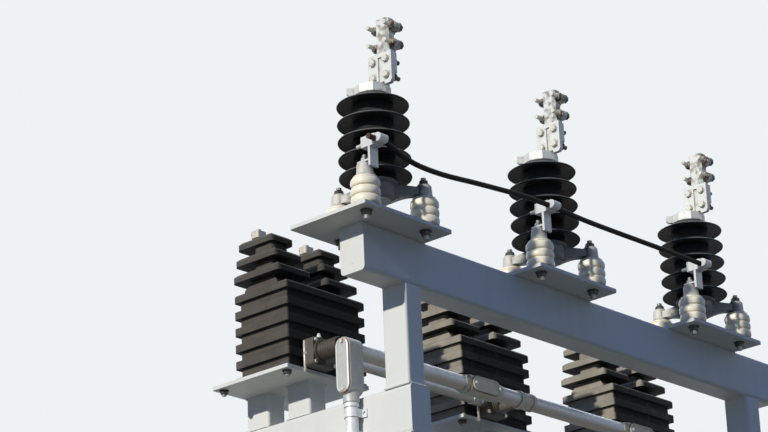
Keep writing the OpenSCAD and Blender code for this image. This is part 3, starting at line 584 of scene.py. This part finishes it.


# %% [markdown]
# ## Housings
# A polymer arrester is a straight core with umbrella sheds at an even pitch. One shed is turned on
# the lathe with a rounded rim and a hollowed underside, and a tree repeats it up the core, so the
# number of sheds and their pitch are two inputs. The rim carries a pale line as an attribute, partly
# dust and partly painted highlight.

# %% One shed and its core
CORE_R, SHED_R, SHED_TOP, CORE_PROUD = 50.0, 93.0, 22.5, 1.0
SHED_COUNT, SHED_PITCH, FIRST_SHED = 5, 49.0, 19.0
SHED = [(0, 1), (CORE_R, 1), (CORE_R + 4, -1.6), (61, -3.2), (72, -3.9), (81, -4.6), (88, -5.9), (91, -6.6),
        (92.4, -5.9), (SHED_R, -4.4), (92.8, -2.8), (91.6, -1.5), (87, 0.6), (79, 4.2), (71, 8.2),
        (63, 12.2), (57, 16), (53.5, 19), (51.3, 21.4), (CORE_R, SHED_TOP), (0, SHED_TOP)]
SHED_DUST_AND_HIGHLIGHT = [0.7 if r > 91.5 and h > -3 else 0.1 if h > 0 and r > CORE_R else 0.0 for r, h in SHED]
HOUSING_H = FIRST_SHED + (SHED_COUNT - 1) * SHED_PITCH + SHED_TOP + CORE_PROUD
shed = lathe("shed", SHED, rubber, sides=96, dust_and_highlight=SHED_DUST_AND_HIGHLIGHT)
core = lathe("core", [(0, 0), (CORE_R + 2, 0), (CORE_R + 2, 4), (CORE_R, 8), (CORE_R, HOUSING_H - 5),
                      (CORE_R - 6, HOUSING_H), (0, HOUSING_H)], rubber)
print("a housing of", SHED_COUNT, "sheds,", HOUSING_H, "mm high")

# %% The tree that stacks them
shed_stack, into, shed_names = new_tree(
    "shed_stack", ("Sheds", "Int"), ("Pitch", "Float"), ("First shed", "Float"))
first = add(shed_stack, "ShaderNodeCombineXYZ", (2, into["First shed"]))
step = add(shed_stack, "ShaderNodeCombineXYZ", (2, into["Pitch"]))
line = add(shed_stack, "GeometryNodeMeshLine", Count=into["Sheds"], Start_Location=first, Offset=step)
shed_in = add(shed_stack, "GeometryNodeObjectInfo", Object=shed)
core_in = add(shed_stack, "GeometryNodeObjectInfo", Object=core)
stack = add(shed_stack, "GeometryNodeInstanceOnPoints", Points=line, Instance=shed_in.outputs["Geometry"])
whole = add(shed_stack, "GeometryNodeJoinGeometry", (0, stack), (0, core_in.outputs["Geometry"]))
seated = add(shed_stack, "GeometryNodeInstanceOnPoints", Points=into["Geometry"], Instance=whole)
end_tree(shed_stack, seated, [("Material", rubber)])

PHASES = (1, 2, 3)
arrester_axes = []
for i in PHASES:
    seat = middle_of(f"arrester_housing_{i}")
    seat.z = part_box(f"arrester_housing_{i}")[0].z
    arrester_axes.append(seat)
    housing = grow(points_host(f"arrester_sheds_{i}", [seat]), shed_stack, shed_names,
                   Sheds=SHED_COUNT, Pitch=SHED_PITCH * MM, First_shed=FIRST_SHED * MM)
    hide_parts(f"arrester_housing_{i}")

# %% [markdown]
# ## Glazed feet
# Nine post insulators carry the tripods. They are all one shape, so one is turned on the lathe and
# a tree sets it on nine points. Each stands on the plate and ends just under its boss.

# %% Foot insulator outline
FOOT_CIRCLE_R, FOOT_ANGLES, FOOT_H = 127.0, (210, 330, 90), 74.0
RING_MIDDLES, RING_HALF, NECK_R, RING_OUT = (12, 35, 58), 10.6, 32.3, 5.2


def foot_outline():
    """Three fat rings with shallow grooves between, and a lip under the boss."""
    outline = [(0, 0), (30, 0)]
    for middle in RING_MIDDLES:
        for angle in range(-90, 91, 15):
            a = math.radians(angle)
            outline.append((NECK_R + RING_OUT * max(0, math.cos(a)) ** 0.8, middle + RING_HALF * math.sin(a)))
    lip = [(30.2, FOOT_H - 4.4), (31.4, FOOT_H - 3.6), (31.4, FOOT_H - 0.6), (31, FOOT_H), (0, FOOT_H)]
    return outline + lip


foot = lathe("foot", foot_outline(), porcelain, sides=48)
print("a foot of", len(RING_MIDDLES), "rings,", FOOT_H, "mm high")

# %% Copies on points
copies, into, copy_names = new_tree("copies_on_points", ("Shape", "Object"), ("Finish", "Material"))
shape = add(copies, "GeometryNodeObjectInfo", Object=into["Shape"])
placed = set_on_points(copies, into["Geometry"], shape.outputs["Geometry"])
end_tree(copies, placed, [("Material", into["Finish"])])


def copies_at(name, places, shape, finish, facing=UP):
    """One piece of equal shapes, set on points."""
    host = points_host(name, places, [facing] * len(places))
    return grow(host, copies, copy_names, Shape=shape, Finish=finish)


def around(axis, angle, height):
    """A point on the circle of the feet, at an angle round an arrester's axis."""
    a, r = math.radians(angle), FOOT_CIRCLE_R * MM
    return Vector((axis.x + r * math.cos(a), axis.y + r * math.sin(a), height))


for i, axis in zip(PHASES, arrester_axes):
    plate_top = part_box(f"arrester_plate_{i}")[1].z
    feet = copies_at(f"glazed_feet_{i}", [around(axis, a, plate_top) for a in FOOT_ANGLES], foot,
                     porcelain)
    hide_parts(f"foot_insulators_{i}")

# %% [markdown]
# ## Bolts
# Every bolt is the same few solids at different sizes: a washer, a hexagon with its corners taken
# off, and the end of a threaded stud. The tree has those sizes as inputs, in metres, and turns each
# copy to the direction its point faces. A seeded turn keeps the flats from lining up. Nuts darken
# sooner than the stud's bare end, so the stud's faces are marked and take a finish of their own.

# %% The bolt tree
bolt_tree, into, bolt_names = new_tree(
    "hex_bolt", ("Across flats", "Float"), ("Head height", "Float"), ("Stud diameter", "Float"),
    ("Stud length", "Float"), ("Washer diameter", "Float"), ("Washer thickness", "Float"),
    ("Finish", "Material"), ("Stud finish", "Material"))

size = dict(into.items())
size["corner_r"] = add(bolt_tree, "ShaderNodeMath", (0, size["Across flats"]), (1, math.sqrt(3)),
                       operation="DIVIDE")
for made, of, share in (
        ("body_h", "Head height", 0.8), ("crown_h", "Head height", 0.2), ("crown_r", "corner_r", 0.86),
        ("stud_r", "Stud diameter", 0.5), ("washer_r", "Washer diameter", 0.5),
        ("half_body", "body_h", 0.5), ("half_stud", "Stud length", 0.5),
        ("half_washer", "Washer thickness", 0.5)):
    size[made] = add(bolt_tree, "ShaderNodeMath", (0, size[of]), (1, share), operation="MULTIPLY")
for made, of in (("body_z", "half_body"), ("crown_z", "body_h")):
    size[made] = add(bolt_tree, "ShaderNodeMath", (0, size["Washer thickness"]), (1, size[of]),
                     operation="ADD")
print(len(size), "sizes in the bolt tree")


# %% A bolt's solids, set on points
def lifted(mesh, height):
    """Moves a solid along the bolt's own axis."""
    by = add(bolt_tree, "ShaderNodeCombineXYZ", (2, height))
    return add(bolt_tree, "GeometryNodeTransform", (0, mesh), Translation=by)


washer = add(bolt_tree, "GeometryNodeMeshCylinder", Vertices=20, Radius=size["washer_r"],
             Depth=size["Washer thickness"])
hexagon = add(bolt_tree, "GeometryNodeMeshCylinder", Vertices=6, Radius=size["corner_r"],
              Depth=size["body_h"])
crown = add(bolt_tree, "GeometryNodeMeshCone", Vertices=6, Radius_Bottom=size["corner_r"],
            Radius_Top=size["crown_r"], Depth=size["crown_h"])
stud = add(bolt_tree, "GeometryNodeMeshCylinder", Vertices=12, Radius=size["stud_r"],
           Depth=size["Stud length"])
marked = add(bolt_tree, "GeometryNodeStoreNamedAttribute", (0, lifted(stud, size["half_stud"])),
             Name="stud", Value=True, data_type="BOOLEAN", domain="FACE")
bolt = add(bolt_tree, "GeometryNodeJoinGeometry", (0, lifted(washer, size["half_washer"])),
           (0, lifted(hexagon, size["body_z"])), (0, lifted(crown, size["crown_z"])), (0, marked))
set_in = set_on_points(bolt_tree, into["Geometry"], bolt)
any_turn = add(bolt_tree, "FunctionNodeRandomValue", (2, 0.0), (3, math.pi / 3), Seed=7, data_type="FLOAT")
spin = add(bolt_tree, "ShaderNodeCombineXYZ", (2, any_turn))
spun = add(bolt_tree, "GeometryNodeRotateInstances", (0, set_in), Rotation=spin)
is_stud = add(bolt_tree, "GeometryNodeInputNamedAttribute", Name="stud", data_type="BOOLEAN")
end_tree(bolt_tree, spun, [("Material", into["Finish"])],
         [("Selection", is_stud), ("Material", into["Stud finish"])])
print(len(bolt_tree.nodes), "nodes in the bolt tree")

# %% One call for a set of bolts
FLATS, HEAD, LEAST_STUD = 1.55, 0.72, 0.5
WASHER, NO_WASHER = (2.1, 0.18), (1.2, 0.05)


def bolts(name, places, facing, size, finish, stud=0.0, seat=WASHER, stud_finish=None):
    """Hexagons of thread size in mm, all facing one way; stud is what shows above the seat, in mm, and
    seat is the washer's diameter and thickness in thread sizes."""
    thread, (seat_d, seat_t) = size * MM, seat
    host = points_host(name, places, [facing] * len(places))
    grow(host, bolt_tree, bolt_names, Across_flats=FLATS * thread, Head_height=HEAD * thread,
         Stud_diameter=thread, Stud_length=max(stud * MM, LEAST_STUD * thread),
         Washer_diameter=seat_d * thread, Washer_thickness=seat_t * thread, Finish=finish,
         Stud_finish=stud_finish or finish)
    return host


# %% [markdown]
# ## Arrester hardware
# A stud runs through the plate and each foot, with a nut below and another on the boss above. The
# line clamp has four bolts through its tongue and the cap's pad, and four long ones through its
# keepers, whose tails stick out to the left as the photograph shows. Bolts could be set one at a time
# by hand. Here each seat is worked out from the box of the piece that it sits on, so a bolt stays
# seated when that piece changes.

# %% Bolts under the plates and on the bosses
BRACKET_T = 5 * MM
under_plate, on_boss, on_bracket = [], [], []
for i, axis in zip(PHASES, arrester_axes):
    plate_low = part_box(f"arrester_plate_{i}")[0].z
    boss_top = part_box(f"tripod_base_{i}")[1].z
    under_plate += [around(axis, a, plate_low) for a in FOOT_ANGLES]
    on_boss += [around(axis, a, boss_top) for a in FOOT_ANGLES[1:]]
    on_bracket += [around(axis, FOOT_ANGLES[0], boss_top + BRACKET_T)]
bolts("foot_bolts_below", under_plate, DOWN, 15, bolt_dark, stud=24, stud_finish=stud_grey)
bolts("foot_bolts_above", on_boss, UP, 14, bolt_dark, stud=20, stud_finish=stud_grey)
bolts("bracket_foot_bolts", on_bracket, UP, 11, stud_grey, stud=18)

# %% Tails of the lead clamps
GRIP_MID, GRIP_BACK, GRIP_HALF = 15 * MM, 67 * MM, 14.5 * MM
lead_low, lead_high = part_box("lead_brackets")
tails = [(lead_low.x + GRIP_MID + k * PHASE_PITCH, lead_low.y + GRIP_BACK, lead_high.z - GRIP_HALF)
         for k in range(3)]
bolts("lead_clamp_tails", tails, BACK, 10, bolt_zinc, stud=25)

# %% Bolts through the pads and the keepers
TONGUE_T, SEAT_GAP, PAD_T, EAR_IN, KEEPER_IN = 12 * MM, 0.3 * MM, 10 * MM, 23 * MM, 7 * MM
PAD_SIDE, PAD_PITCH, KEEPER_BOLTS, KEEPER_PITCH = 78 * MM, 44.45 * MM, 57 * MM, 50 * MM
JAW_H, KEEPER_RISE = 104.5 * MM, 5 * MM
KEEPER_MID = PAD_SIDE + JAW_H / 2 + KEEPER_RISE
SIGNS = [(a, b) for a in (-1, 1) for b in (-1, 1)]
pad_heads, pad_nuts, keeper_heads, keeper_nuts = [], [], [], []
for i in PHASES:
    low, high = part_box(f"line_clamp_{i}")
    pad_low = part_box(f"arrester_cap_{i}")[1].z - PAD_SIDE
    for sy, sz in SIGNS:
        y = (low.y + high.y) / 2 + sy * PAD_PITCH / 2
        z = pad_low + (PAD_SIDE + sz * PAD_PITCH) / 2
        pad_heads.append((low.x, y, z))
        pad_nuts.append((low.x + TONGUE_T + SEAT_GAP + PAD_T, y, z))
        y = (low.y + high.y) / 2 + sy * KEEPER_BOLTS / 2
        z = pad_low + KEEPER_MID + sz * KEEPER_PITCH / 2
        keeper_nuts.append((low.x + EAR_IN, y, z))
        keeper_heads.append((high.x - KEEPER_IN, y, z))
bolts("pad_bolt_heads", pad_heads, LEFT, 11, bolt_zinc, seat=NO_WASHER)
bolts("pad_bolt_nuts", pad_nuts, RIGHT, 12, bolt_dark, stud=24)
bolts("keeper_bolt_heads", keeper_heads, RIGHT, 12, bolt_dark)
bolts("keeper_bolt_nuts", keeper_nuts, LEFT, 12, bolt_rusty, stud=34, stud_finish=bolt_zinc)

# %% [markdown]
# ## Stand hardware
# The transformers' plates are bolted near their corners, the covers of the conduit bodies have a
# screw at each end, and the feet of the stand sit on four anchor bolts each, drawn up by nuts. The
# front of each terminal box has four screws. Their seats come from the pieces' boxes too.

# %% Transformer plates and boxes
PLATE_T, CORNER_IN = 10 * MM, 22 * MM
BOX_ASIDE, BOX_D, BOX_H, SCREWS_X, SCREWS_Z = 50 * MM, 34 * MM, 74 * MM, 34 * MM, 29 * MM
plate_bolts, box_screws = [], []
for i in PHASES:
    low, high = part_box(f"transformer_stand_{i}")
    plate_bolts += [(x, y, high.z - PLATE_T) for x in (low.x + CORNER_IN, high.x - CORNER_IN)
                    for y in (low.y + CORNER_IN, high.y - CORNER_IN)]
    box_x, box_z = (low.x + high.x) / 2 - BOX_ASIDE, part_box(f"terminal_box_{i}")[0].z + BOX_H / 2
    box_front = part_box(f"transformer_{i}")[0].y - BOX_D - SEAT_GAP
    box_screws += [(box_x + sx * SCREWS_X, box_front, box_z + sz * SCREWS_Z) for sx, sz in SIGNS]
bolts("transformer_plate_bolts", plate_bolts, DOWN, 12, bolt_dark, stud=15, stud_finish=stud_grey)
bolts("terminal_box_screws", box_screws, FRONT, 6, screw_bright, seat=NO_WASHER)

# %% Covers and anchors
SCREW_IN, HUB_DROP, LINE_SCREWS = 12 * MM, 20 * MM, 48 * MM
ANCHOR_OUT, BASE_T = 90 * MM, 16 * MM
LEGS = ("front_leg_left", "front_leg_right", "rear_leg_left", "rear_leg_right")
corner_low, corner_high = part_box("corner_fitting")
corner_y = middle_of("corner_fitting").y
corner_screws = [(corner_low.x, corner_y, z)
                 for z in (corner_high.z - SCREW_IN, corner_low.z + HUB_DROP + SCREW_IN)]
bolts("corner_cover_screws", corner_screws, LEFT, 6, screw_bright, seat=NO_WASHER)

low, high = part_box("line_fittings")
line_mids = [Vector((low.x + BODY_L / 2 + k * PHASE_PITCH, low.y, (low.z + high.z) / 2)) for k in (0, 1)]
line_screws = [(mid.x + s * LINE_SCREWS, mid.y, mid.z) for mid in line_mids for s in (-1, 1)]
bolts("line_cover_screws", line_screws, FRONT, 6, screw_bright, seat=NO_WASHER)

anchors = [(middle_of(leg).x + sx * ANCHOR_OUT, middle_of(leg).y + sy * ANCHOR_OUT, BASE_T)
           for leg in LEGS for sx, sy in SIGNS]
bolts("anchor_nuts", anchors, UP, 20, bolt_zinc, stud=46)

# %% [markdown]
# ## Cover rims
# The conduit bodies' covers are stamped: a raised rim runs round a sunken panel, over a thin gasket.
# A rim is one small section carried round an obround path, so one helper makes rims and gaskets.


# %% A section carried round an obround path
def obround_loop(mesh, centre, long_way, outward, straight, section, steps=14):
    """Adds a closed band: a section of (radius, height) points, round a path with two straights, in mm."""
    u, n = Vector(long_way), Vector(outward)
    v = n.cross(u)
    rings = []
    for end, start_angle in ((1, -90), (-1, 90)):
        for k in range(steps + 1):
            a = math.radians(start_angle + 180 * k / steps)
            along, aside, mid = u * math.cos(a), v * math.sin(a), u * (end * straight / 2)
            rings.append([mesh.verts.new(centre + (mid + (along + aside) * r + n * h) * MM)
                          for r, h in section])
    for a, b in zip(rings, rings[1:] + rings[:1]):
        for k in range(len(section)):
            j = (k + 1) % len(section)
            mesh.faces.new((a[k], a[j], b[j], b[k]))


def rims(name, places, long_way, outward, straight, section, material):
    """One piece of equal obround bands at places."""
    mesh = bmesh.new()
    for centre in places:
        obround_loop(mesh, centre, long_way, outward, straight, section)
    piece = settle(mesh, name, material, 40)
    scene.collection.objects.link(piece)
    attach(piece, "root")
    print(f"{name}: {len(piece.data.polygons) * 2} triangles")
    return piece


# %% Rims and gaskets of the corner fitting and of the line fittings
COVER_OUT = 4.8 * MM
CORNER_STRAIGHT, LINE_STRAIGHT = 102, 70
corner_mid = [Vector((corner_low.x + COVER_OUT, corner_y, corner_high.z - BODY_L / 2))]
rims("corner_cover_rim", corner_mid, UP, LEFT, CORNER_STRAIGHT,
     [(21, 2.5), (21.3, 5), (20.6, 6.4), (19, 7), (16.6, 6.6), (15.4, 5), (15.2, 4)],
     corner_cover)
rims("corner_gasket", corner_mid, UP, LEFT, CORNER_STRAIGHT,
     [(22.6, -0.2), (22.6, 0.9), (20, 0.9), (20, -0.2)], gasket_rust)
cover_mids = [mid + Vector((0, COVER_OUT, 0)) for mid in line_mids]
rims("line_cover_rims", cover_mids, RIGHT, FRONT, LINE_STRAIGHT,
     [(20, 2.5), (20.2, 4.6), (19.6, 5.8), (18, 6.3), (16, 5.9), (15, 4.6), (14.9, 4)],
     fitting_metal)
rims("line_gaskets", cover_mids, RIGHT, FRONT, LINE_STRAIGHT,
     [(21.4, -0.2), (21.4, 0.8), (19, 0.8), (19, -0.2)], sleeve_rubber)

# %% [markdown]
# ## Rods, plugs and sleeves
# A thin rod is welded up the front edge of each transformer's plate, and each terminal box has a
# white plastic plug in its top. A ribbed rubber sleeve covers the nipple on the front of the first
# box, as far as the corner fitting. All are turned on the lathe and set on points like the feet.

# %% The sleeve
SLEEVE_END, RIBS, RIB_PITCH = 67.0, 7, 8
sleeve_outline = [(0, 0), (31, 0), (32, 1.2), (32, 5), (30.5, 6.5), (25, 7.5)]
for k in range(RIBS):
    foot_z = 10 + RIB_PITCH * k
    sleeve_outline += [(24.2, foot_z), (25.8, foot_z + 1.5), (25.8, foot_z + 4.5), (24.2, foot_z + 6)]
sleeve = lathe("sleeve", sleeve_outline + [(24, SLEEVE_END), (0, SLEEVE_END)], sleeve_rubber, sides=48)
sleeve_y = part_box("transformer_1")[0].y - BOX_D - 2 * SEAT_GAP
sleeve_seat = (middle_of("corner_fitting").x, sleeve_y, middle_of("terminal_box_1").z)
copies_at("box_sleeve", [sleeve_seat], sleeve, sleeve_rubber, FRONT)

# %% Hold-down rods and box plugs
ROD_R, ROD_H, ROD_GAP, ROD_EDGE = 3.5, 84.0, 0.2, 0.8
ROD_ASIDE, ROD_BELOW, CLIP_ABOVE = 92 * MM, 12 * MM, 36 * MM
PLUG_ASIDE, PLUG_AHEAD = 65 * MM, 30 * MM
rod = lathe("rod", [(0, 0), (ROD_R - ROD_EDGE, 0), (ROD_R, ROD_EDGE), (ROD_R, ROD_H - ROD_EDGE),
                    (ROD_R - ROD_EDGE, ROD_H), (0, ROD_H)], bolt_zinc, sides=16)
plug = lathe("plug", [(0, 0), (6.5, 0), (7, 0.8), (6.6, 4), (5.2, 5), (5, 8), (4, 11.4), (2.2, 12.6),
                      (0, 13)], plug_white, sides=20)
rod_places, plug_places, clip_places = [], [], []
for i in PHASES:
    stand_x, stand_top = middle_of(f"transformer_stand_{i}").x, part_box(f"transformer_stand_{i}")[1].z
    front, box_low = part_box(f"transformer_{i}")[0].y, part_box(f"terminal_box_{i}")[0].z
    rod_places.append((stand_x - ROD_ASIDE, front - (ROD_R + ROD_GAP) * MM, stand_top - ROD_BELOW))
    clip_places.append((stand_x - ROD_ASIDE, front - 2 * ROD_R * MM, stand_top + CLIP_ABOVE))
    plug_places.append((stand_x - PLUG_ASIDE, front - PLUG_AHEAD, box_low + BOX_H))
copies_at("hold_down_rods", rod_places, rod, bolt_zinc)
copies_at("terminal_box_plugs", plug_places, plug, plug_white)
bolts("rod_clips", clip_places, FRONT, 6, bolt_zinc, stud=6)

# %% [markdown]
# ## Welds
# Posts, legs and stubs are welded all round, and the arresters' plates along the rail. A weld is a
# row of overlapping ripples, so the tree walks each joint line at the ripple's spacing and lays a
# bead with a small seeded change of size, which reads as laid by hand. Flush joints are ground
# smooth, so they have none.

# %% The weld tree
weld, into, weld_names = new_tree(
    "weld_bead", ("Bead size", "Float"), ("Ripple spacing", "Float"), ("Finish", "Material"))
path = add(weld, "GeometryNodeMeshToCurve", Mesh=into["Geometry"])
steps = add(weld, "GeometryNodeResampleCurve", (0, path), (3, into["Ripple spacing"]), mode="LENGTH")
ripple = add(weld, "GeometryNodeMeshIcoSphere", Radius=into["Bead size"], Subdivisions=2)
vary = add(weld, "FunctionNodeRandomValue", (2, 0.8), (3, 1.15), Seed=3, data_type="FLOAT")
laid = add(weld, "GeometryNodeInstanceOnPoints", Points=steps, Instance=ripple, Scale=vary)
end_tree(weld, laid, [("Material", into["Finish"])])
print(len(weld.nodes), "nodes in the weld tree")

# %% Joint lines
BEAD, RIPPLE = 3.6 * MM, 4 * MM


def outline_about(x, y, z, half_x, half_y):
    """The outline of an upright tube's section at a height."""
    return [(x + sx * half_x, y + sy * half_y, z) for sx, sy in ((-1, -1), (1, -1), (1, 1), (-1, 1))]


def weld_lines(name, loops, lines=()):
    """Welds along closed loops and open lines, as one piece."""
    places, edges = [], []
    for loop in loops:
        first = len(places)
        places += loop
        edges += [(first + k, first + (k + 1) % len(loop)) for k in range(len(loop))]
    for a, b in lines:
        edges.append((len(places), len(places) + 1))
        places += [a, b]
    piece = grow(points_host(name, places, edges=edges), weld, weld_names,
                 Bead_size=BEAD, Ripple_spacing=RIPPLE, Finish=paint)
    return piece


# %% Welds on the posts, the legs and the arresters' plates
POST_HALF, POST_ROUND = (32 * MM, 40 * MM), 9 * MM
RAIL_IN, BEAD_SUNK = 8 * MM, 1.5 * MM
post_loops, post_lines = [], []
for post in ("post_left", "post_right"):
    (low, high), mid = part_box(post), middle_of(post)
    post_loops.append(outline_about(mid.x, mid.y, low.z, *POST_HALF))
    post_lines += [((x, low.y + POST_ROUND, high.z), (x, high.y - POST_ROUND, high.z))
                   for x in (low.x, high.x)]
weld_lines("post_welds", post_loops, post_lines)
weld_lines("leg_welds", [outline_about(middle_of(leg).x, middle_of(leg).y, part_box(leg)[1].z, *POST_HALF)
                         for leg in LEGS])

rail_low, rail_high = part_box("upper_rail")
plate_lines = []
for i in PHASES:
    low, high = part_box(f"arrester_plate_{i}")
    x0, z = max(low.x, rail_low.x), rail_high.z - BEAD_SUNK
    plate_lines += [((x0, y, z), (high.x, y, z)) for y in (rail_low.y + RAIL_IN, rail_high.y - RAIL_IN)]
weld_lines("plate_welds", [], plate_lines)

# %% Welds on the stubs under the transformers
STUB_SHIFT, STUB_PITCH, (STUB_X, STUB_Y) = 19 * MM, 148 * MM, (32 * MM, 40 * MM)
stub_loops, stub_lines = [], []
for i in PHASES:
    (low, high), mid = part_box(f"transformer_stand_{i}"), middle_of(f"transformer_stand_{i}")
    for s in (-1, 1):
        y = mid.y + STUB_SHIFT + s * STUB_PITCH / 2
        stub_loops.append(outline_about(mid.x, y, high.z - PLATE_T, STUB_X, STUB_Y))
        stub_lines += [((mid.x - STUB_X, y + sy * STUB_Y, low.z), (mid.x + STUB_X, y + sy * STUB_Y, low.z))
                       for sy in (-1, 1)]
weld_lines("stub_welds", stub_loops, stub_lines)

# %% [markdown]
# ## The earth lead
# One lead runs in front of the arresters' sheds, held in a block at each, and sags a little between
# them. The route repeats the CAD route's points, smoothed the same way, and a tree sweeps a round
# profile along it, so the jacket has one diameter from end to end.

# %% Route
LEAD_D, LEAD_TAIL, LEAD_STRAIGHT, LEAD_SAGS = 14 * MM, 34 * MM, 20 * MM, (30 * MM, 4 * MM)
LEAD_IN, NOSE_L, STEPS = 12 * MM, 22 * MM, 6
LEAD_HANG = [(0.05, 0), (0.1, 0.4), (0.16, 0.77), (0.22, 0.97), (0.31, 1), (0.41, 0.87),
             (0.53, 0.6), (0.7, 0.27), (0.82, 0.07), (0.95, 0)]
clamp_x = [lead_low.x + LEAD_IN + k * PHASE_PITCH for k in range(3)]
lead_y, lead_z = lead_low.y + NOSE_L, lead_high.z - GRIP_HALF
route = [Vector((clamp_x[0] - LEAD_TAIL, lead_y, lead_z))]
for i, x in enumerate(clamp_x):
    route += [Vector((x + aside, lead_y, lead_z)) for aside in (-LEAD_STRAIGHT, 0, LEAD_STRAIGHT)]
    if i < len(LEAD_SAGS):
        route += [Vector((x + share * PHASE_PITCH, lead_y, lead_z - drop * LEAD_SAGS[i]))
                  for share, drop in LEAD_HANG]
route.append(Vector((clamp_x[2] + LEAD_TAIL, lead_y, lead_z)))


def smooth_route(points, steps):
    """Points on one smooth curve through all of them."""
    out, last = [], len(points) - 1
    for k in range(last):
        a, b, c, d = points[max(k - 1, 0)], points[k], points[k + 1], points[min(k + 2, last)]
        for s in range(steps):
            t = s / steps
            out.append(0.5 * (2 * b + (c - a) * t + (2 * a - 5 * b + 4 * c - d) * t * t
                              + (3 * b - 3 * c + d - a) * t ** 3))
    return out + [points[last]]


lead_points = smooth_route(route, STEPS)

# %% Jacket
sweep, into, sweep_names = new_tree("jacket", ("Diameter", "Float"), ("Finish", "Material"))
path = add(sweep, "GeometryNodeMeshToCurve", Mesh=into["Geometry"])
radius = add(sweep, "ShaderNodeMath", (0, into["Diameter"]), (1, 0.5), operation="MULTIPLY")
ring = add(sweep, "GeometryNodeCurvePrimitiveCircle", Resolution=20, Radius=radius)
tube = add(sweep, "GeometryNodeCurveToMesh", Curve=path, Profile_Curve=ring, Fill_Caps=True)
soft = add(sweep, "GeometryNodeSetShadeSmooth", Geometry=tube)
end_tree(sweep, soft, [("Material", into["Finish"])])

lead_edges = [(k, k + 1) for k in range(len(lead_points) - 1)]
lead_host = points_host("earth_lead_jacket", lead_points, edges=lead_edges)
lead = grow(lead_host, sweep, sweep_names, Diameter=LEAD_D, Finish=jacket)
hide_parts("earth_lead")

# %% [markdown]
# ## Floor
# A wide pale floor takes the stand's shadow. The camera and gloss see its pale tone. The light it
# throws back up has a darker tone, because the undersides are dim in the photograph.

# %% Floor
FLOOR_HALF, FLOOR_Z = 30, -1 * MM
floor_paint, tree, body, place = start_material("pale_floor", Roughness=0.8)
tone = mottled(tree, place, 900, 2.0, "#EDE4D4", "#F4EBDC")[1]
seen = add(tree, "ShaderNodeLightPath")
shown = add(tree, "ShaderNodeMath", (0, seen.outputs["Is Camera Ray"]), (1, seen.outputs["Is Glossy Ray"]),
            operation="MAXIMUM")
thrown = add(tree, "ShaderNodeMix", (0, shown), (6, "#343731"), (7, tone), data_type="RGBA")
join(tree, body, ("Base Color", thrown))
floor_mesh = bpy.data.meshes.new("floor")
corners = [(x, y, FLOOR_Z) for x, y in ((-1, -1), (1, -1), (1, 1), (-1, 1))]
floor_mesh.from_pydata([(x * FLOOR_HALF, y * FLOOR_HALF, z) for x, y, z in corners], [], [(0, 1, 2, 3)])
floor_mesh.materials.append(floor_paint)
floor = bpy.data.objects.new("floor", floor_mesh)
scene.collection.objects.link(floor)
print("floor", 2 * FLOOR_HALF, "m across")
